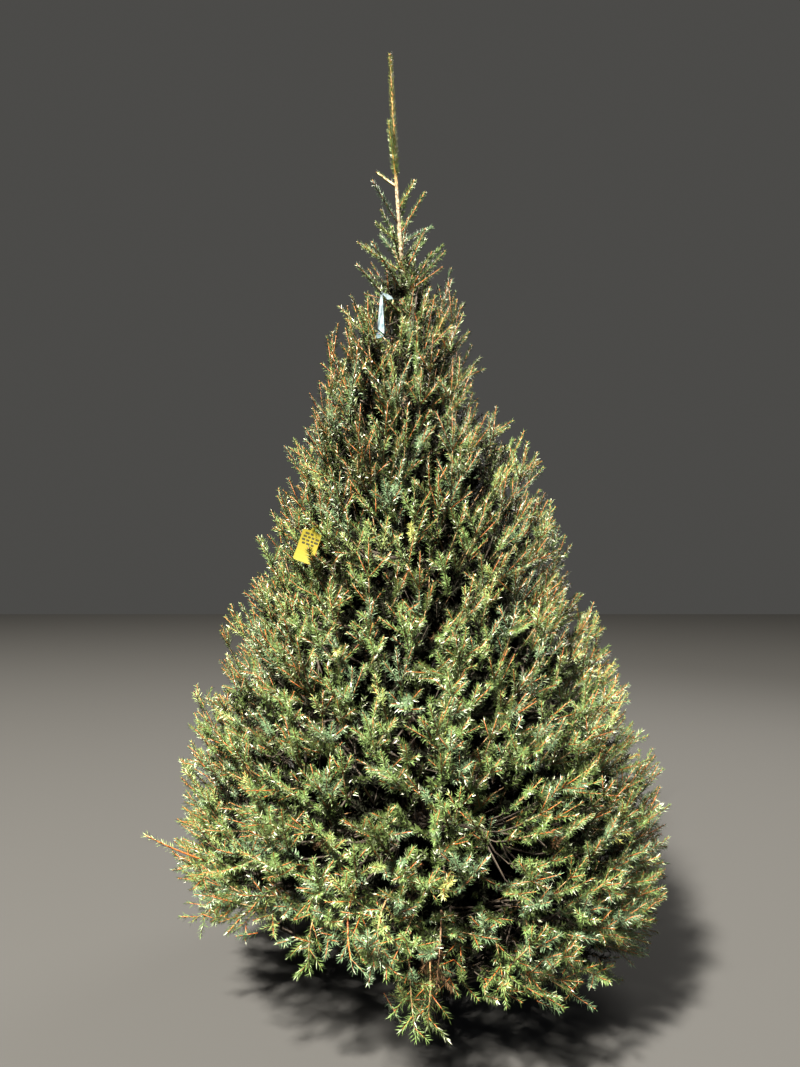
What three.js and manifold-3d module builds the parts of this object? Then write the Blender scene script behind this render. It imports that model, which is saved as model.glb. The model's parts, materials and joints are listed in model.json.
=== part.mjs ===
// A spruce grown on a tree farm: one leaning trunk with an unclipped leader, whorls of boughs
// round it, and a dense conical crown. Each mass of foliage is a lumpy core of close twigs with
// fans of needle sprays standing out of it. A yellow tag and a pale ribbon hang on two shoots.
// Millimetres, +Z up, origin at the centre of the trunk's flat cut at ground level. The side
// that faces -Y is the front.

import * as THREE from 'three';
import { mergeVertices } from 'three/addons/utils/BufferGeometryUtils.js';
import Module from 'manifold-3d';

const wasm = await Module();
wasm.setup();

const seatGap = 0.3; // between a piece and what carries it
const coreGap = 9; // between a mass and the edges of its own space
const limbGap = 7; // between a core and the limbs that it is cut clear of

// Height of the tip, and the trunk's axis: how far it has leaned to -X at each height
const treeHeight = 3410;
const lean = [[0, 0], [2607, -81.5], [2918, -103], [treeHeight, -127]];
const trunkRadii = [[0, 46], [900, 35], [1900, 19], [2607, 9.5], [2918, 6.5], [treeHeight - 12, 2.6],
  [treeHeight, 1.2]];
const rootFlare = { height: 75, spread: 0.42, lobes: 5, lobeDepth: 0.3 };

// Radius of the crown at each height, from its skirt of hanging twigs to the bare upper trunk
const crownRadii = [[25, 500], [80, 610], [180, 780], [270, 840], [390, 872], [510, 888], [730, 845],
  [930, 810], [1060, 770], [1250, 680], [1430, 592], [1630, 540], [1830, 488], [1980, 420],
  [2090, 365], [2240, 320], [2400, 262], [2560, 165], [2700, 110]];

// How steeply shoots rise at each height, degrees: hanging at the skirt, near upright at the top
const shootRise = [[40, -30], [160, -6], [420, 16], [1100, 30], [1900, 42], [2600, 52]];

// Tiers of foliage: how high the middle of the lowest is at the crown's surface, how far apart the
// tiers are there, and the slope that each climbs away from the trunk at, from the lowest up
const firstTier = 205;
const tierSpacing = 287;
const tierSlopes = [[0, -0.04], [1, 0.13], [4, 0.52], [9, 1.0]];
const skirtHeight = 26; // the lowest twigs hang this near the ground
const boughCounts = [5, 4, 4, 4, 3, 3]; // tiers whose masses sit on boughs, from the ground up
const trunkMassCounts = [2, 2, 2]; // the tiers above, whose masses sit straight on the trunk
const boughShare = 0.45; // of the crown's radius, where a bough ends and its mass begins
const boughRootRadii = [13, 7.5]; // of the lowest tier's boughs, and of the highest's
const boughTipShare = 0.55;
const trunkMassInner = 30; // from the trunk's axis to a mass that sits on it
const trunkStemRadius = 6;
const spraySpacing = 198; // between sprays over the crown's surface
const sprayLength = 290;
const goldenTurn = 137.5; // degrees, from one tier's first bough to the next one's

// Single shoots on the bare upper trunk: where each leaves it, the bearing in degrees that it
// points along (0 is +X, 180 is -X, 270 is the front), its rise in degrees, and its length
const topShoots = [
  { name: 'leader_side_shoot', height: 2928, bearing: 226, rise: 79, length: 205 },
  { name: 'leader_stub', height: 2900, bearing: 160, rise: 39, length: 100 },
  { name: 'shoot_left', height: 2752, bearing: 196, rise: 56, length: 184 },
  { name: 'shoot_right', height: 2718, bearing: 340, rise: 55, length: 170 },
  { name: 'ribbon_shoot', height: 2405, bearing: 208, rise: 40, length: 250 },
];
const shootRadii = [4.2, 2.2];
const needleReach = 17; // from a top shoot's middle to its needle tips

// The tag: a plate with a short strap up to a ring round a twig, turned and tilted as it hangs
const tag = {
  width: 64, height: 102, thickness: 1.4, strapWidth: 15, centre: [-381, -449, 1542],
  strapTop: [-351, -449, 1604], tilt: -20, turn: -8,
};
// The ribbon: tied round its shoot at a distance out along it, with a long tail and a short end
const ribbon = { width: 24, tail: 168, shortEnd: 42, thickness: 1.2, along: 122 };
const ring = { wall: 1.6, length: 9, sides: 8 };

const bark = new THREE.Color('#6f5c49');
const boughBark = new THREE.Color('#7a6552');
const needleGreens = ['#3f5a34', '#4a6638', '#37533a', '#526c3f'].map((hex) => new THREE.Color(hex));
const tagYellow = new THREE.Color('#e8e322');
const ribbonWhite = new THREE.Color('#e4e8ee');

// One seeded row of numbers from 0 to 1
let seed = 20250;
function random() {
  seed = (seed * 16807) % 2147483647;
  return seed / 2147483647;
}

function jitter(amount) {
  return (random() * 2 - 1) * amount;
}

// Value at a place along a table of [place, value] pairs
function along(table, place) {
  const last = table.length - 1;
  let at = 0;
  while (at < last - 1 && place > table[at + 1][0]) at += 1;
  const [fromPlace, fromValue] = table[at];
  const [toPlace, toValue] = table[at + 1];
  const share = THREE.MathUtils.clamp((place - fromPlace) / (toPlace - fromPlace), 0, 1);
  return fromValue + (toValue - fromValue) * share;
}

// The direction of a bearing round the trunk and a rise above the level, both in radians
function headingTo(bearing, rise) {
  return new THREE.Vector3(
    Math.cos(bearing) * Math.cos(rise),
    Math.sin(bearing) * Math.cos(rise),
    Math.sin(rise),
  );
}

// Moves every vertex of a geometry to a new place
function reshape(geometry, move) {
  const spots = geometry.attributes.position;
  const vertex = new THREE.Vector3();
  for (let at = 0; at < spots.count; at += 1) {
    vertex.fromBufferAttribute(spots, at);
    const moved = move(vertex);
    spots.setXYZ(at, moved.x, moved.y, moved.z);
  }
  return geometry;
}

function toSolid(geometry) {
  geometry.deleteAttribute('normal');
  geometry.deleteAttribute('uv');
  const merged = mergeVertices(geometry, 1e-3);
  return new wasm.Manifold(new wasm.Mesh({
    numProp: 3,
    vertProperties: new Float32Array(merged.attributes.position.array),
    triVerts: new Uint32Array(merged.index.array),
  }));
}

function toGeometry(solid) {
  const { vertProperties, triVerts } = solid.getMesh();
  const geometry = new THREE.BufferGeometry();
  geometry.setAttribute('position', new THREE.BufferAttribute(new Float32Array(vertProperties), 3));
  geometry.setIndex(new THREE.BufferAttribute(new Uint32Array(triVerts), 1));
  return geometry;
}

// The largest body of a solid: a loose scrap is dropped, and a hollow that joining sealed is filled
function wholeBody(solid) {
  const bodies = solid.decompose();
  return bodies.reduce((best, body) => (body.volume() > best.volume() ? body : best));
}

// One clean body, without slivers thinner than the tolerance
function tidy(solid, tolerance) {
  return wholeBody(toSolid(toGeometry(wholeBody(solid.simplify(tolerance)))));
}

function toMesh(name, solid, colour, roughness) {
  const geometry = toGeometry(solid);
  geometry.computeVertexNormals();
  const look = { color: colour, roughness, metalness: 0, flatShading: true };
  const mesh = new THREE.Mesh(geometry, new THREE.MeshStandardMaterial(look));
  mesh.name = name;
  return mesh;
}

// A tapering limb of few sides along a path. pathAt and radiusAt take 0 at its root, 1 at its tip
function limb(pathAt, radiusAt, sides, rings) {
  const step = 1e-3;
  const unit = new THREE.CylinderGeometry(1, 1, 1, sides, rings);
  return toSolid(reshape(unit, ({ x, y, z }) => {
    const share = y + 0.5;
    const centre = pathAt(share);
    const ahead = pathAt(Math.min(share + step, 1));
    const behind = pathAt(Math.max(share - step, 0));
    const heading = ahead.sub(behind).normalize();
    const side = new THREE.Vector3(0, 0, 1).cross(heading);
    if (side.length() < 0.05) side.set(0, 1, 0);
    side.normalize();
    const over = heading.clone().cross(side);
    const radius = radiusAt(share);
    return centre.addScaledVector(side, z * radius).addScaledVector(over, x * radius);
  }));
}

function straightLimb(from, to, rootRadius, tipRadius) {
  return limb(
    (share) => from.clone().lerp(to, share),
    (share) => rootRadius + (tipRadius - rootRadius) * share,
    3,
    1,
  );
}

// The trunk

function axisAt(height) {
  return new THREE.Vector3(along(lean, height), 0, height);
}

function flareAt(height, bearing) {
  const fade = Math.exp(-height / rootFlare.height);
  const lobe = 1 + rootFlare.lobeDepth * Math.cos(rootFlare.lobes * bearing + 0.6);
  return 1 + rootFlare.spread * fade * lobe;
}

const trunkRings = 16;
const trunkSides = 12;

// Rings stand closer together near the ground, where the flare turns
function trunkSolid(extra) {
  const unit = new THREE.CylinderGeometry(1, 1, 1, trunkSides, trunkRings);
  return toSolid(reshape(unit, ({ x, y, z }) => {
    const height = treeHeight * (y + 0.5) ** 1.6;
    const bearing = Math.atan2(-z, x);
    const rim = Math.hypot(x, z);
    const radius = (along(trunkRadii, height) * flareAt(height, bearing) + extra) * rim;
    const centre = axisAt(height);
    return centre.add(new THREE.Vector3(Math.cos(bearing) * radius, Math.sin(bearing) * radius, 0));
  }));
}

const trunk = trunkSolid(0);
const trunkSeat = trunkSolid(seatGap);
const trunkClearing = trunkSolid(limbGap);

// The crown's spaces: each mass keeps between two bearings and between two tier floors

// Height of a tier's middle, or between two tiers at a half, at a radius from the trunk's axis
function tierHeight(tier, radius) {
  const atSurface = firstTier + tierSpacing * tier;
  return atSurface + along(tierSlopes, tier) * (radius - along(crownRadii, atSurface));
}

function tierFloor(tier, radius) {
  return tier === 0 ? skirtHeight : tierHeight(tier - 0.5, radius);
}

// A spot in a space: across it, out from its inner edge to the crown's surface, and up it
function spotIn(space, across, out, up) {
  let radius = space.inner;
  let height = 0;
  for (let pass = 0; pass < 8; pass += 1) {
    const floor = tierFloor(space.tier, radius) + coreGap;
    const ceiling = tierFloor(space.tier + 1, radius) - coreGap;
    height = floor + (ceiling - floor) * up;
    radius = space.inner + (along(crownRadii, height) - space.inner) * out;
  }
  const edge = Math.min(coreGap / Math.max(radius, 60), space.width * 0.2);
  const bearing = space.from + edge + (space.width - 2 * edge) * across;
  const centre = axisAt(height);
  return new THREE.Vector3(centre.x + radius * Math.cos(bearing), radius * Math.sin(bearing), height);
}

function bearingOf(spot) {
  return Math.atan2(spot.y, spot.x - along(lean, spot.z));
}

function isInside(space, spot) {
  const margin = 3;
  const radius = Math.hypot(spot.x - along(lean, spot.z), spot.y);
  const middle = space.from + space.width / 2;
  const offMiddle = bearingOf(spot) - middle;
  const turned = Math.abs(Math.atan2(Math.sin(offMiddle), Math.cos(offMiddle)));
  const fromEdge = radius * Math.sin(Math.min(space.width / 2 - turned, Math.PI / 2));
  return fromEdge > margin
    && spot.z > tierFloor(space.tier, radius) + margin
    && spot.z < tierFloor(space.tier + 1, radius) - margin
    && radius > along(trunkRadii, spot.z) + margin;
}

// Needle sprays

// Half of a spray's toothed outline, as shares of its length, from its root to its tip. Each
// tooth is a side shoot
const sprayOutline = [[-0.45, 0], [-0.22, 0.25], [-0.05, 0.11], [0.15, 0.31], [0.24, 0.1], [0.55, 0]];
const sprayThickness = 0.045;

// A flat toothed blade from root to tip, thickest in its middle
function spray(root, tip, flatSide, slimness = 1) {
  const length = root.distanceTo(tip);
  const heading = tip.clone().sub(root).normalize();
  const side = flatSide.clone().cross(heading).normalize();
  const face = side.clone().cross(heading);
  const middle = root.clone().addScaledVector(heading, length * 0.45);
  const half = sprayOutline.length - 1;
  const unit = new THREE.SphereGeometry(1, half * 2, 2);
  return toSolid(reshape(unit, ({ x, y, z }) => {
    if (Math.abs(y) > 0.5) return middle.clone().addScaledVector(face, y * sprayThickness * length);
    const step = Math.round((Math.atan2(z, -x) / Math.PI) * half);
    const [forward, sideways] = sprayOutline[Math.abs(step)];
    return middle.clone()
      .addScaledVector(heading, forward * length)
      .addScaledVector(side, Math.sign(step) * sideways * length * slimness);
  }));
}

// Spots round a spray's edge and along it, to test that it keeps to its space
function sprayEdge(root, tip, flatSide) {
  const length = root.distanceTo(tip);
  const heading = tip.clone().sub(root).normalize();
  const side = flatSide.clone().cross(heading).normalize();
  const middle = root.clone().addScaledVector(heading, length * 0.45);
  return sprayOutline.flatMap(([forward, sideways]) => [-1, 1].map((hand) => middle.clone()
    .addScaledVector(heading, forward * length)
    .addScaledVector(side, hand * sideways * length)));
}

// Pieces hung on shoots

const twigRadius = 2.6;
const strapTop = new THREE.Vector3(...tag.strapTop);
const twigHeading = new THREE.Vector3(-0.42, -0.7, 0.58).normalize();
const tagTwigKnee = strapTop.clone().addScaledVector(twigHeading, -55);
const tagTwigFoot = strapTop.clone().addScaledVector(twigHeading, -58);
const tagTwigEnd = strapTop.clone().addScaledVector(twigHeading, 26);

// A short tube round a twig, its bore clear of it all round
function ringRound(centre, heading, boreRadius) {
  const inner = boreRadius / Math.cos(Math.PI / ring.sides);
  const outer = inner + ring.wall;
  const half = ring.length / 2;
  const profile = [[inner, -half], [outer, -half], [outer, half], [inner, half], [inner, -half]];
  const points = profile.map(([across, up]) => new THREE.Vector2(across, up));
  const turned = new THREE.LatheGeometry(points, ring.sides);
  const turn = new THREE.Quaternion().setFromUnitVectors(new THREE.Vector3(0, 1, 0), heading);
  turned.applyQuaternion(turn);
  turned.translate(centre.x, centre.y, centre.z);
  return toSolid(turned);
}

// A flat strip between two spots, facing the front as far as it can
function strip(from, to, width, thickness, turn) {
  const length = from.distanceTo(to);
  const up = to.clone().sub(from).normalize();
  const front = new THREE.Vector3(0, -1, 0).applyAxisAngle(new THREE.Vector3(0, 0, 1), turn);
  const side = up.clone().cross(front).normalize();
  const face = side.clone().cross(up);
  const box = new THREE.BoxGeometry(width, length, thickness);
  box.applyMatrix4(new THREE.Matrix4().makeBasis(side, up, face));
  const middle = from.clone().lerp(to, 0.5);
  box.translate(middle.x, middle.y, middle.z);
  return toSolid(box);
}

function tagSolid() {
  const centre = new THREE.Vector3(...tag.centre);
  const turn = THREE.MathUtils.degToRad(tag.turn);
  const up = new THREE.Vector3(Math.sin(-THREE.MathUtils.degToRad(tag.tilt)), 0,
    Math.cos(THREE.MathUtils.degToRad(tag.tilt)));
  const top = centre.clone().addScaledVector(up, tag.height / 2);
  const bottom = centre.clone().addScaledVector(up, -tag.height / 2);
  const plate = strip(bottom, top, tag.width, tag.thickness, turn);
  const strapFrom = top.clone().lerp(centre, 0.08);
  const loop = ringRound(strapTop, twigHeading, twigRadius + 2 * seatGap);
  const bore = straightLimb(
    strapTop.clone().addScaledVector(twigHeading, -60),
    strapTop.clone().addScaledVector(twigHeading, 60),
    twigRadius + 3 * seatGap,
    twigRadius + 3 * seatGap,
  );
  const strap = strip(strapFrom, strapTop, tag.strapWidth, tag.thickness, turn);
  return tidy(wasm.Manifold.union([plate, strap.subtract(bore), loop]), 0.05);
}

// A bare shoot from the trunk, with two crossed blades of short needles along it
function shootPath({ height, bearing, rise, length }) {
  const heading = headingTo(THREE.MathUtils.degToRad(bearing), THREE.MathUtils.degToRad(rise));
  const root = axisAt(height);
  return { root, heading, tip: root.clone().addScaledVector(heading, length) };
}

function shootSolid(shoot, needlesFrom) {
  const { root, heading, tip } = shootPath(shoot);
  const needleRoot = root.clone().addScaledVector(heading, needlesFrom);
  const side = new THREE.Vector3(0, 0, 1).cross(heading).normalize();
  const slimness = needleReach / (0.31 * needleRoot.distanceTo(tip));
  const blades = [side, side.clone().cross(heading)]
    .map((flatSide) => spray(needleRoot, tip, flatSide, slimness));
  const stem = straightLimb(root, tip.clone().addScaledVector(heading, -6), ...shootRadii);
  return tidy(wasm.Manifold.union([stem, ...blades]).subtract(trunkSeat), 0.05);
}

const ribbonShoot = topShoots.find(({ name }) => name === 'ribbon_shoot');
const ribbonPath = shootPath(ribbonShoot);
const ribbonKnot = ribbonPath.root.clone().addScaledVector(ribbonPath.heading, ribbon.along);
const ribbonFront = new THREE.Vector3(0, -1, 0).projectOnPlane(ribbonPath.heading).normalize();
const ribbonTop = ribbonKnot.clone().addScaledVector(ribbonFront, 4.8);
const ribbonFoot = ribbonTop.clone().add(new THREE.Vector3(2, 0, -ribbon.tail));

function ribbonSolid() {
  const share = ribbon.along / ribbonShoot.length;
  const bore = THREE.MathUtils.lerp(shootRadii[0], shootRadii[1], share) + 1.3 * seatGap;
  const loop = ringRound(ribbonKnot, ribbonPath.heading, bore);
  const clearing = straightLimb(
    ribbonKnot.clone().addScaledVector(ribbonPath.heading, -60),
    ribbonKnot.clone().addScaledVector(ribbonPath.heading, 60),
    bore + seatGap,
    bore + seatGap,
  );
  const tail = strip(ribbonFoot, ribbonTop, ribbon.width, ribbon.thickness, -0.3);
  const endAt = ribbonTop.clone().addScaledVector(new THREE.Vector3(0.78, -0.12, -0.62), ribbon.shortEnd);
  const shortEnd = strip(endAt, ribbonTop, ribbon.width * 0.7, ribbon.thickness, -0.3);
  return tidy(wasm.Manifold.union([tail, shortEnd]).subtract(clearing).add(loop), 0.05);
}

const hungPieces = [tagSolid(), ribbonSolid()];
const shootSolids = topShoots.map((shoot) => shootSolid(
  shoot,
  shoot === ribbonShoot ? ribbon.along + ring.length : 22,
));

// Masses of foliage

function touches(solid, pieces) {
  return pieces.some((piece) => solid.minGap(piece, 4) < 3);
}

// A spray and the twig that carries it, its tip on the crown's surface. One that would leave the
// space or touch a limb is left out
function twigWithSpray(space, stemSpot, tip, length, limbs) {
  const rise = THREE.MathUtils.degToRad(along(shootRise, tip.z) + jitter(10));
  const heading = headingTo(bearingOf(tip) + jitter(0.35), rise);
  const root = tip.clone().addScaledVector(heading, -length);
  const flatSide = new THREE.Vector3(0, 0, 1).applyAxisAngle(heading, jitter(0.9));
  if (!sprayEdge(root, tip, flatSide).every((spot) => isInside(space, spot))) return [];
  const blade = spray(root, tip, flatSide);
  if (touches(blade, [...limbs, ...hungPieces, ...shootSolids])) return [];
  return [blade, straightLimb(stemSpot, tip.clone().lerp(root, 0.75), 7, 4)];
}

// A rounded, lumpy core that fills the middle of a space
function core(space, innerShare, outerShare) {
  const block = new THREE.BoxGeometry(2, 2, 2, 4, 2, 2);
  block.deleteAttribute('normal');
  block.deleteAttribute('uv');
  return toSolid(reshape(mergeVertices(block, 1e-3), ({ x, y, z }) => {
    const corner = 1 - 0.05 * (x * x * y * y + y * y * z * z + z * z * x * x);
    const size = corner * (1 - random() * 0.11);
    const across = 0.5 + 0.49 * x * size;
    const up = 0.5 + 0.5 * z * size;
    const out = innerShare + (outerShare - innerShare) * (0.5 - 0.5 * y * size);
    return spotIn(space, across, out, up);
  }));
}

// A mass: its stem from stemFrom outwards, twigs from the stem to an even grid of spots over the
// crown's surface, a spray on each, and the core
function foliage(space, stemFrom, stemHeading, stemRadius, limbs, filling) {
  const stemTo = spotIn(space, 0.5, 0.7, 0.5);
  const bend = stemFrom.clone().addScaledVector(stemHeading, stemFrom.distanceTo(stemTo) / 2);
  const curve = new THREE.QuadraticBezierCurve3(stemFrom, bend, stemTo);
  const stem = limb((share) => curve.getPoint(share), (share) => stemRadius * (1 - 0.4 * share), 3, 2);
  const outer = spotIn(space, 0.5, 1, 0.5);
  const radius = Math.hypot(outer.x - along(lean, outer.z), outer.y);
  const tall = spotIn(space, 0.5, 1, 1).distanceTo(spotIn(space, 0.5, 1, 0));
  const columns = Math.max(1, Math.round((radius * space.width) / spraySpacing));
  const rows = Math.max(1, Math.round(tall / spraySpacing));
  const parts = [filling];
  for (let row = 0; row < rows; row += 1) {
    for (let column = 0; column < columns; column += 1) {
      const across = (column + 0.5 + jitter(0.2)) / columns;
      const up = (row + 0.5 + jitter(0.2)) / rows;
      const tip = spotIn(space, across, 1, THREE.MathUtils.lerp(0.2, 0.93, up));
      const length = Math.min(sprayLength, radius * 0.75) * (1 + jitter(0.12));
      parts.push(...twigWithSpray(space, curve.getPoint(0.5 + 0.35 * random()), tip, length, limbs));
    }
  }
  if (isInside(space, strapTop)) {
    parts.push(straightLimb(curve.getPoint(0.8), tagTwigKnee, 3.4, 2.9));
    parts.push(straightLimb(tagTwigFoot, tagTwigEnd, 2.9, twigRadius));
  }
  return wasm.Manifold.union(parts).simplify(1.2).add(stem);
}

// Builds the meshes

const tree = new THREE.Group();
tree.add(toMesh('trunk', trunk, bark, 0.92));

function spaceFor(tier, at, count, innerAt) {
  const width = (2 * Math.PI) / count;
  const first = THREE.MathUtils.degToRad(tier * goldenTurn - 90);
  const reach = along(crownRadii, firstTier + tierSpacing * tier);
  return { tier, from: first + (at - 0.5) * width, width, inner: innerAt(reach) };
}

function addBoughAndMass(tier, at, count) {
  const space = spaceFor(tier, at, count, (reach) => reach * boughShare);
  const share = tier / (boughCounts.length - 1);
  const rootRadius = THREE.MathUtils.lerp(boughRootRadii[0], boughRootRadii[1], share);
  const tip = spotIn(space, 0.5, 0, 0.5);
  const root = axisAt(tierHeight(tier, 0));
  const length = root.distanceTo(tip);
  const sag = new THREE.Vector3(0, 0, -0.2 * length);
  const path = (at01) => root.clone().lerp(tip, at01).addScaledVector(sag, at01 * (1 - at01));
  const radiusAt = (at01) => rootRadius * (1 - (1 - boughTipShare) * at01);
  const bough = tidy(limb(path, radiusAt, 6, 3).subtract(trunkSeat), 0.05);
  const past = 1 + limbGap / length;
  const clearing = limb((at01) => path(at01 * past), (at01) => radiusAt(at01) + limbGap, 6, 3);
  const heading = tip.clone().sub(path(0.999)).normalize();
  const stemFrom = tip.clone().addScaledVector(heading, seatGap);
  const filling = core(space, 0.08, 0.6).subtract(clearing);
  const mass = tidy(
    foliage(space, stemFrom, heading, rootRadius * boughTipShare, [bough], filling),
    0.05,
  );
  const label = `${tier + 1}_${at + 1}`;
  tree.add(toMesh(`bough_${label}`, bough, boughBark, 0.9));
  tree.add(toMesh(`foliage_${label}`, mass, needleGreens[(tier + at) % 4], 0.8));
}

boughCounts.forEach((count, tier) => {
  for (let at = 0; at < count; at += 1) addBoughAndMass(tier, at, count);
});

// Room round the ribbon and its shoot, where the cores of the top masses stay out
const roomHeight = new THREE.Vector3(0, 0, 25);
const ribbonRoom = straightLimb(ribbonPath.root, ribbonPath.tip, 30, 44)
  .add(strip(ribbonFoot.clone().sub(roomHeight), ribbonTop.clone().add(roomHeight), 120, 90, -0.3));

function addTrunkMass(tier, at, count) {
  const space = spaceFor(tier, at, count, () => trunkMassInner);
  const stemFrom = axisAt(tierHeight(tier, 0));
  const heading = spotIn(space, 0.5, 0.7, 0.5).sub(stemFrom).normalize();
  const filling = core(space, 0.02, 0.6).subtract(trunkClearing).subtract(ribbonRoom);
  const joined = foliage(space, stemFrom, heading, trunkStemRadius, [], filling);
  const mass = tidy(joined.subtract(trunkSeat), 0.05);
  tree.add(toMesh(`foliage_${tier + 1}_${at + 1}`, mass, needleGreens[(tier + at) % 4], 0.8));
}

trunkMassCounts.forEach((count, above) => {
  for (let at = 0; at < count; at += 1) addTrunkMass(boughCounts.length + above, at, count);
});

topShoots.forEach(({ name }, at) => tree.add(toMesh(name, shootSolids[at], needleGreens[at % 4], 0.8)));
tree.add(toMesh('yellow_tag', hungPieces[0], tagYellow, 0.55));
tree.add(toMesh('white_ribbon', hungPieces[1], ribbonWhite, 0.5));

export default tree;
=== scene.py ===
# A farm-grown spruce: bark, fine twigs, needles, a tag and a ribbon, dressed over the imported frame.
# Metres, +Z up, the front towards -Y.

import json
import math

import bpy
import numpy as np
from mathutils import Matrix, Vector

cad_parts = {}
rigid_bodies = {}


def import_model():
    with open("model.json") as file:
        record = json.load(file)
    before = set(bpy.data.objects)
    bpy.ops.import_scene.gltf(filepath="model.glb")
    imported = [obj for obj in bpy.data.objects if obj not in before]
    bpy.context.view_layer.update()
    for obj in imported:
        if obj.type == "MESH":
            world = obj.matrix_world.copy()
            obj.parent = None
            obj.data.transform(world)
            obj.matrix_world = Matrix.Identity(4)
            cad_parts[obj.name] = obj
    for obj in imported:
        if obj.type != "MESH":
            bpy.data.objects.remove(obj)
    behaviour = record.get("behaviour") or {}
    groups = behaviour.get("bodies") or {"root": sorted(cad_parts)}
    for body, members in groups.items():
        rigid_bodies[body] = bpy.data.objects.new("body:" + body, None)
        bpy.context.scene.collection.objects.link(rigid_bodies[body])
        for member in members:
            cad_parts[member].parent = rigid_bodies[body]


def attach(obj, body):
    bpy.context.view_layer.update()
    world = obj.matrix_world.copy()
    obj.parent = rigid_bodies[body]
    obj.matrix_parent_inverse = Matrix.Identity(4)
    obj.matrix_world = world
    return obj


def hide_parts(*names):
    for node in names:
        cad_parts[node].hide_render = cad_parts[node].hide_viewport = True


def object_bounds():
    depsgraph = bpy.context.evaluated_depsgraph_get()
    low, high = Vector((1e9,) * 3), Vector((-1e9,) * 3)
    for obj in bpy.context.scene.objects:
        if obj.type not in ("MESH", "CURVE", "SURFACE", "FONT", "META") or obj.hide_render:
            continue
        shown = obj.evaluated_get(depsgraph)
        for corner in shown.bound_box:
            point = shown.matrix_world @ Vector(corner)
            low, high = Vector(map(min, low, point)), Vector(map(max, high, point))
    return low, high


bpy.ops.object.select_all(action="SELECT")
bpy.ops.object.delete()  # the start-up cube, light and camera
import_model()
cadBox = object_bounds()

trunkShape = {
    "height": 3.41,
    "lean": [(0, 0), (2.607, -0.0815), (2.918, -0.103), (3.41, -0.127)],  # height, shift to -X
    "radii": [(0, 0.046), (0.9, 0.035), (1.9, 0.019), (2.607, 0.0095), (2.918, 0.0065), (3.398, 0.0026),
              (3.41, 0.0012)],
    "rings": 47,
    "sides": 10,
    "turn": 0.12,
    "flareHeight": 0.075,
    "flareSpread": 0.42,
    "flareRings": 9,
    "lobeDepth": 0.3,  # of the flare's lobes, on every other side
}

crown = {
    "radii": [(0.025, 0.5), (0.08, 0.61), (0.18, 0.78), (0.27, 0.84), (0.39, 0.872), (0.51, 0.888),
              (0.73, 0.845), (0.93, 0.81), (1.06, 0.77), (1.25, 0.68), (1.43, 0.592), (1.63, 0.54),
              (1.83, 0.488), (1.98, 0.42), (2.09, 0.365), (2.24, 0.32), (2.4, 0.262), (2.56, 0.165),
              (2.7, 0.11)],  # height, radius of the crown there
    "rise": [(0.04, -32), (0.16, -4), (0.42, 26), (0.8, 42), (1.3, 50), (1.9, 58), (2.6, 62)],  # degrees
    "firstTier": 0.205,
    "tierSpacing": 0.287,
    "tierSlopes": [(0, -0.04), (1, 0.13), (4, 0.52), (9, 1.0)],
    "skirtHeight": 0.026,
    "outside": 0.055,  # how far a shoot's tip may stand over the surface
    "leftHollows": [(2.25, 0.13, 0.1), (1.0, 0.09, 0.045), (0.33, 0.13, 0.15)],  # height, spread, depth
    "boughCounts": [5, 4, 4, 4, 3, 3],
    "trunkMassCounts": [2, 2, 2],
    "boughShare": 0.45,
    "stemEnd": 0.7,  # share of the way out where a mass's stem ends
    "trunkMassInner": 0.03,
    "goldenTurn": 137.5,
}

skirt = {  # how far the lowest foliage hangs over the ground, by bearing in degrees
    "floor": [(-180, 0.29), (-165, 0.31), (-150, 0.35), (-135, 0.42), (-118, 0.44), (-108, 0.46),
              (-103, 0.38), (-98, 0.27), (-91, 0.22), (-88, 0.34), (-84, 0.38), (-79, 0.31), (-68, 0.28),
              (-58, 0.25), (-40, 0.2), (0, 0.19), (60, 0.15), (120, 0.19), (150, 0.25), (180, 0.29)],
    "ragged": 0.025,
    "droopUnder": 0.06,  # the rise table's height for a shoot right at the hem
    "droopOver": 0.5,
    "limbOver": 0.05,
    "deadTwigs": 70,
    "deadLength": (0.08, 0.18),
    "overGround": 0.003,
}

boughShape = {
    "rootRadii": (0.013, 0.0075),  # lowest tier, highest tier
    "sag": 0.2,
    "trunkStemRadius": 0.006,
}

randomRow = np.random.default_rng(20250)
uniform = randomRow.uniform
norm = np.linalg.norm


def along(table, place):
    places, values = zip(*table)
    return np.interp(place, places, values)


def spotOn(line, place):
    # The spot on a line of points, by a place counted in points
    return np.stack([np.interp(place, np.arange(len(line)), line[:, axis]) for axis in range(3)], axis=-1)


def bowed(starts, bends, ends, count):
    # Quadratic curves as rows of points
    steps = np.linspace(0, 1, count)[:, None]
    return ((1 - steps) ** 2 * starts[..., None, :] + 2 * steps * (1 - steps) * bends[..., None, :]
            + steps ** 2 * ends[..., None, :])


def unit(vectors):
    return vectors / np.maximum(norm(vectors, axis=-1, keepdims=True), 1e-9)


def turnAbout(vectors, axes, angles):
    # Rodrigues' turn of each vector about its own unit axis
    angles = np.asarray(angles)[..., None]
    dots = np.sum(vectors * axes, axis=-1, keepdims=True)
    return (vectors * np.cos(angles) + np.cross(axes, vectors) * np.sin(angles)
            + axes * dots * (1 - np.cos(angles)))


def spread(amount, count):
    return uniform(-amount, amount, count)


def bell(amount, count):
    return amount * randomRow.standard_normal(count)


def axisAt(height):
    height = np.asarray(height, float)
    return np.stack([along(trunkShape["lean"], height), np.zeros_like(height), height], axis=-1)


def headingTo(bearing, rise=0.0):
    return np.stack([np.cos(bearing) * np.cos(rise), np.sin(bearing) * np.cos(rise),
                     np.sin(rise) + 0 * bearing], axis=-1)


def nearest(spots, wanted):
    return spots[np.argmin(norm(spots - wanted, axis=1))]


# The crown's spaces, as the solids have them: each mass between two bearings and two tier floors

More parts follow.
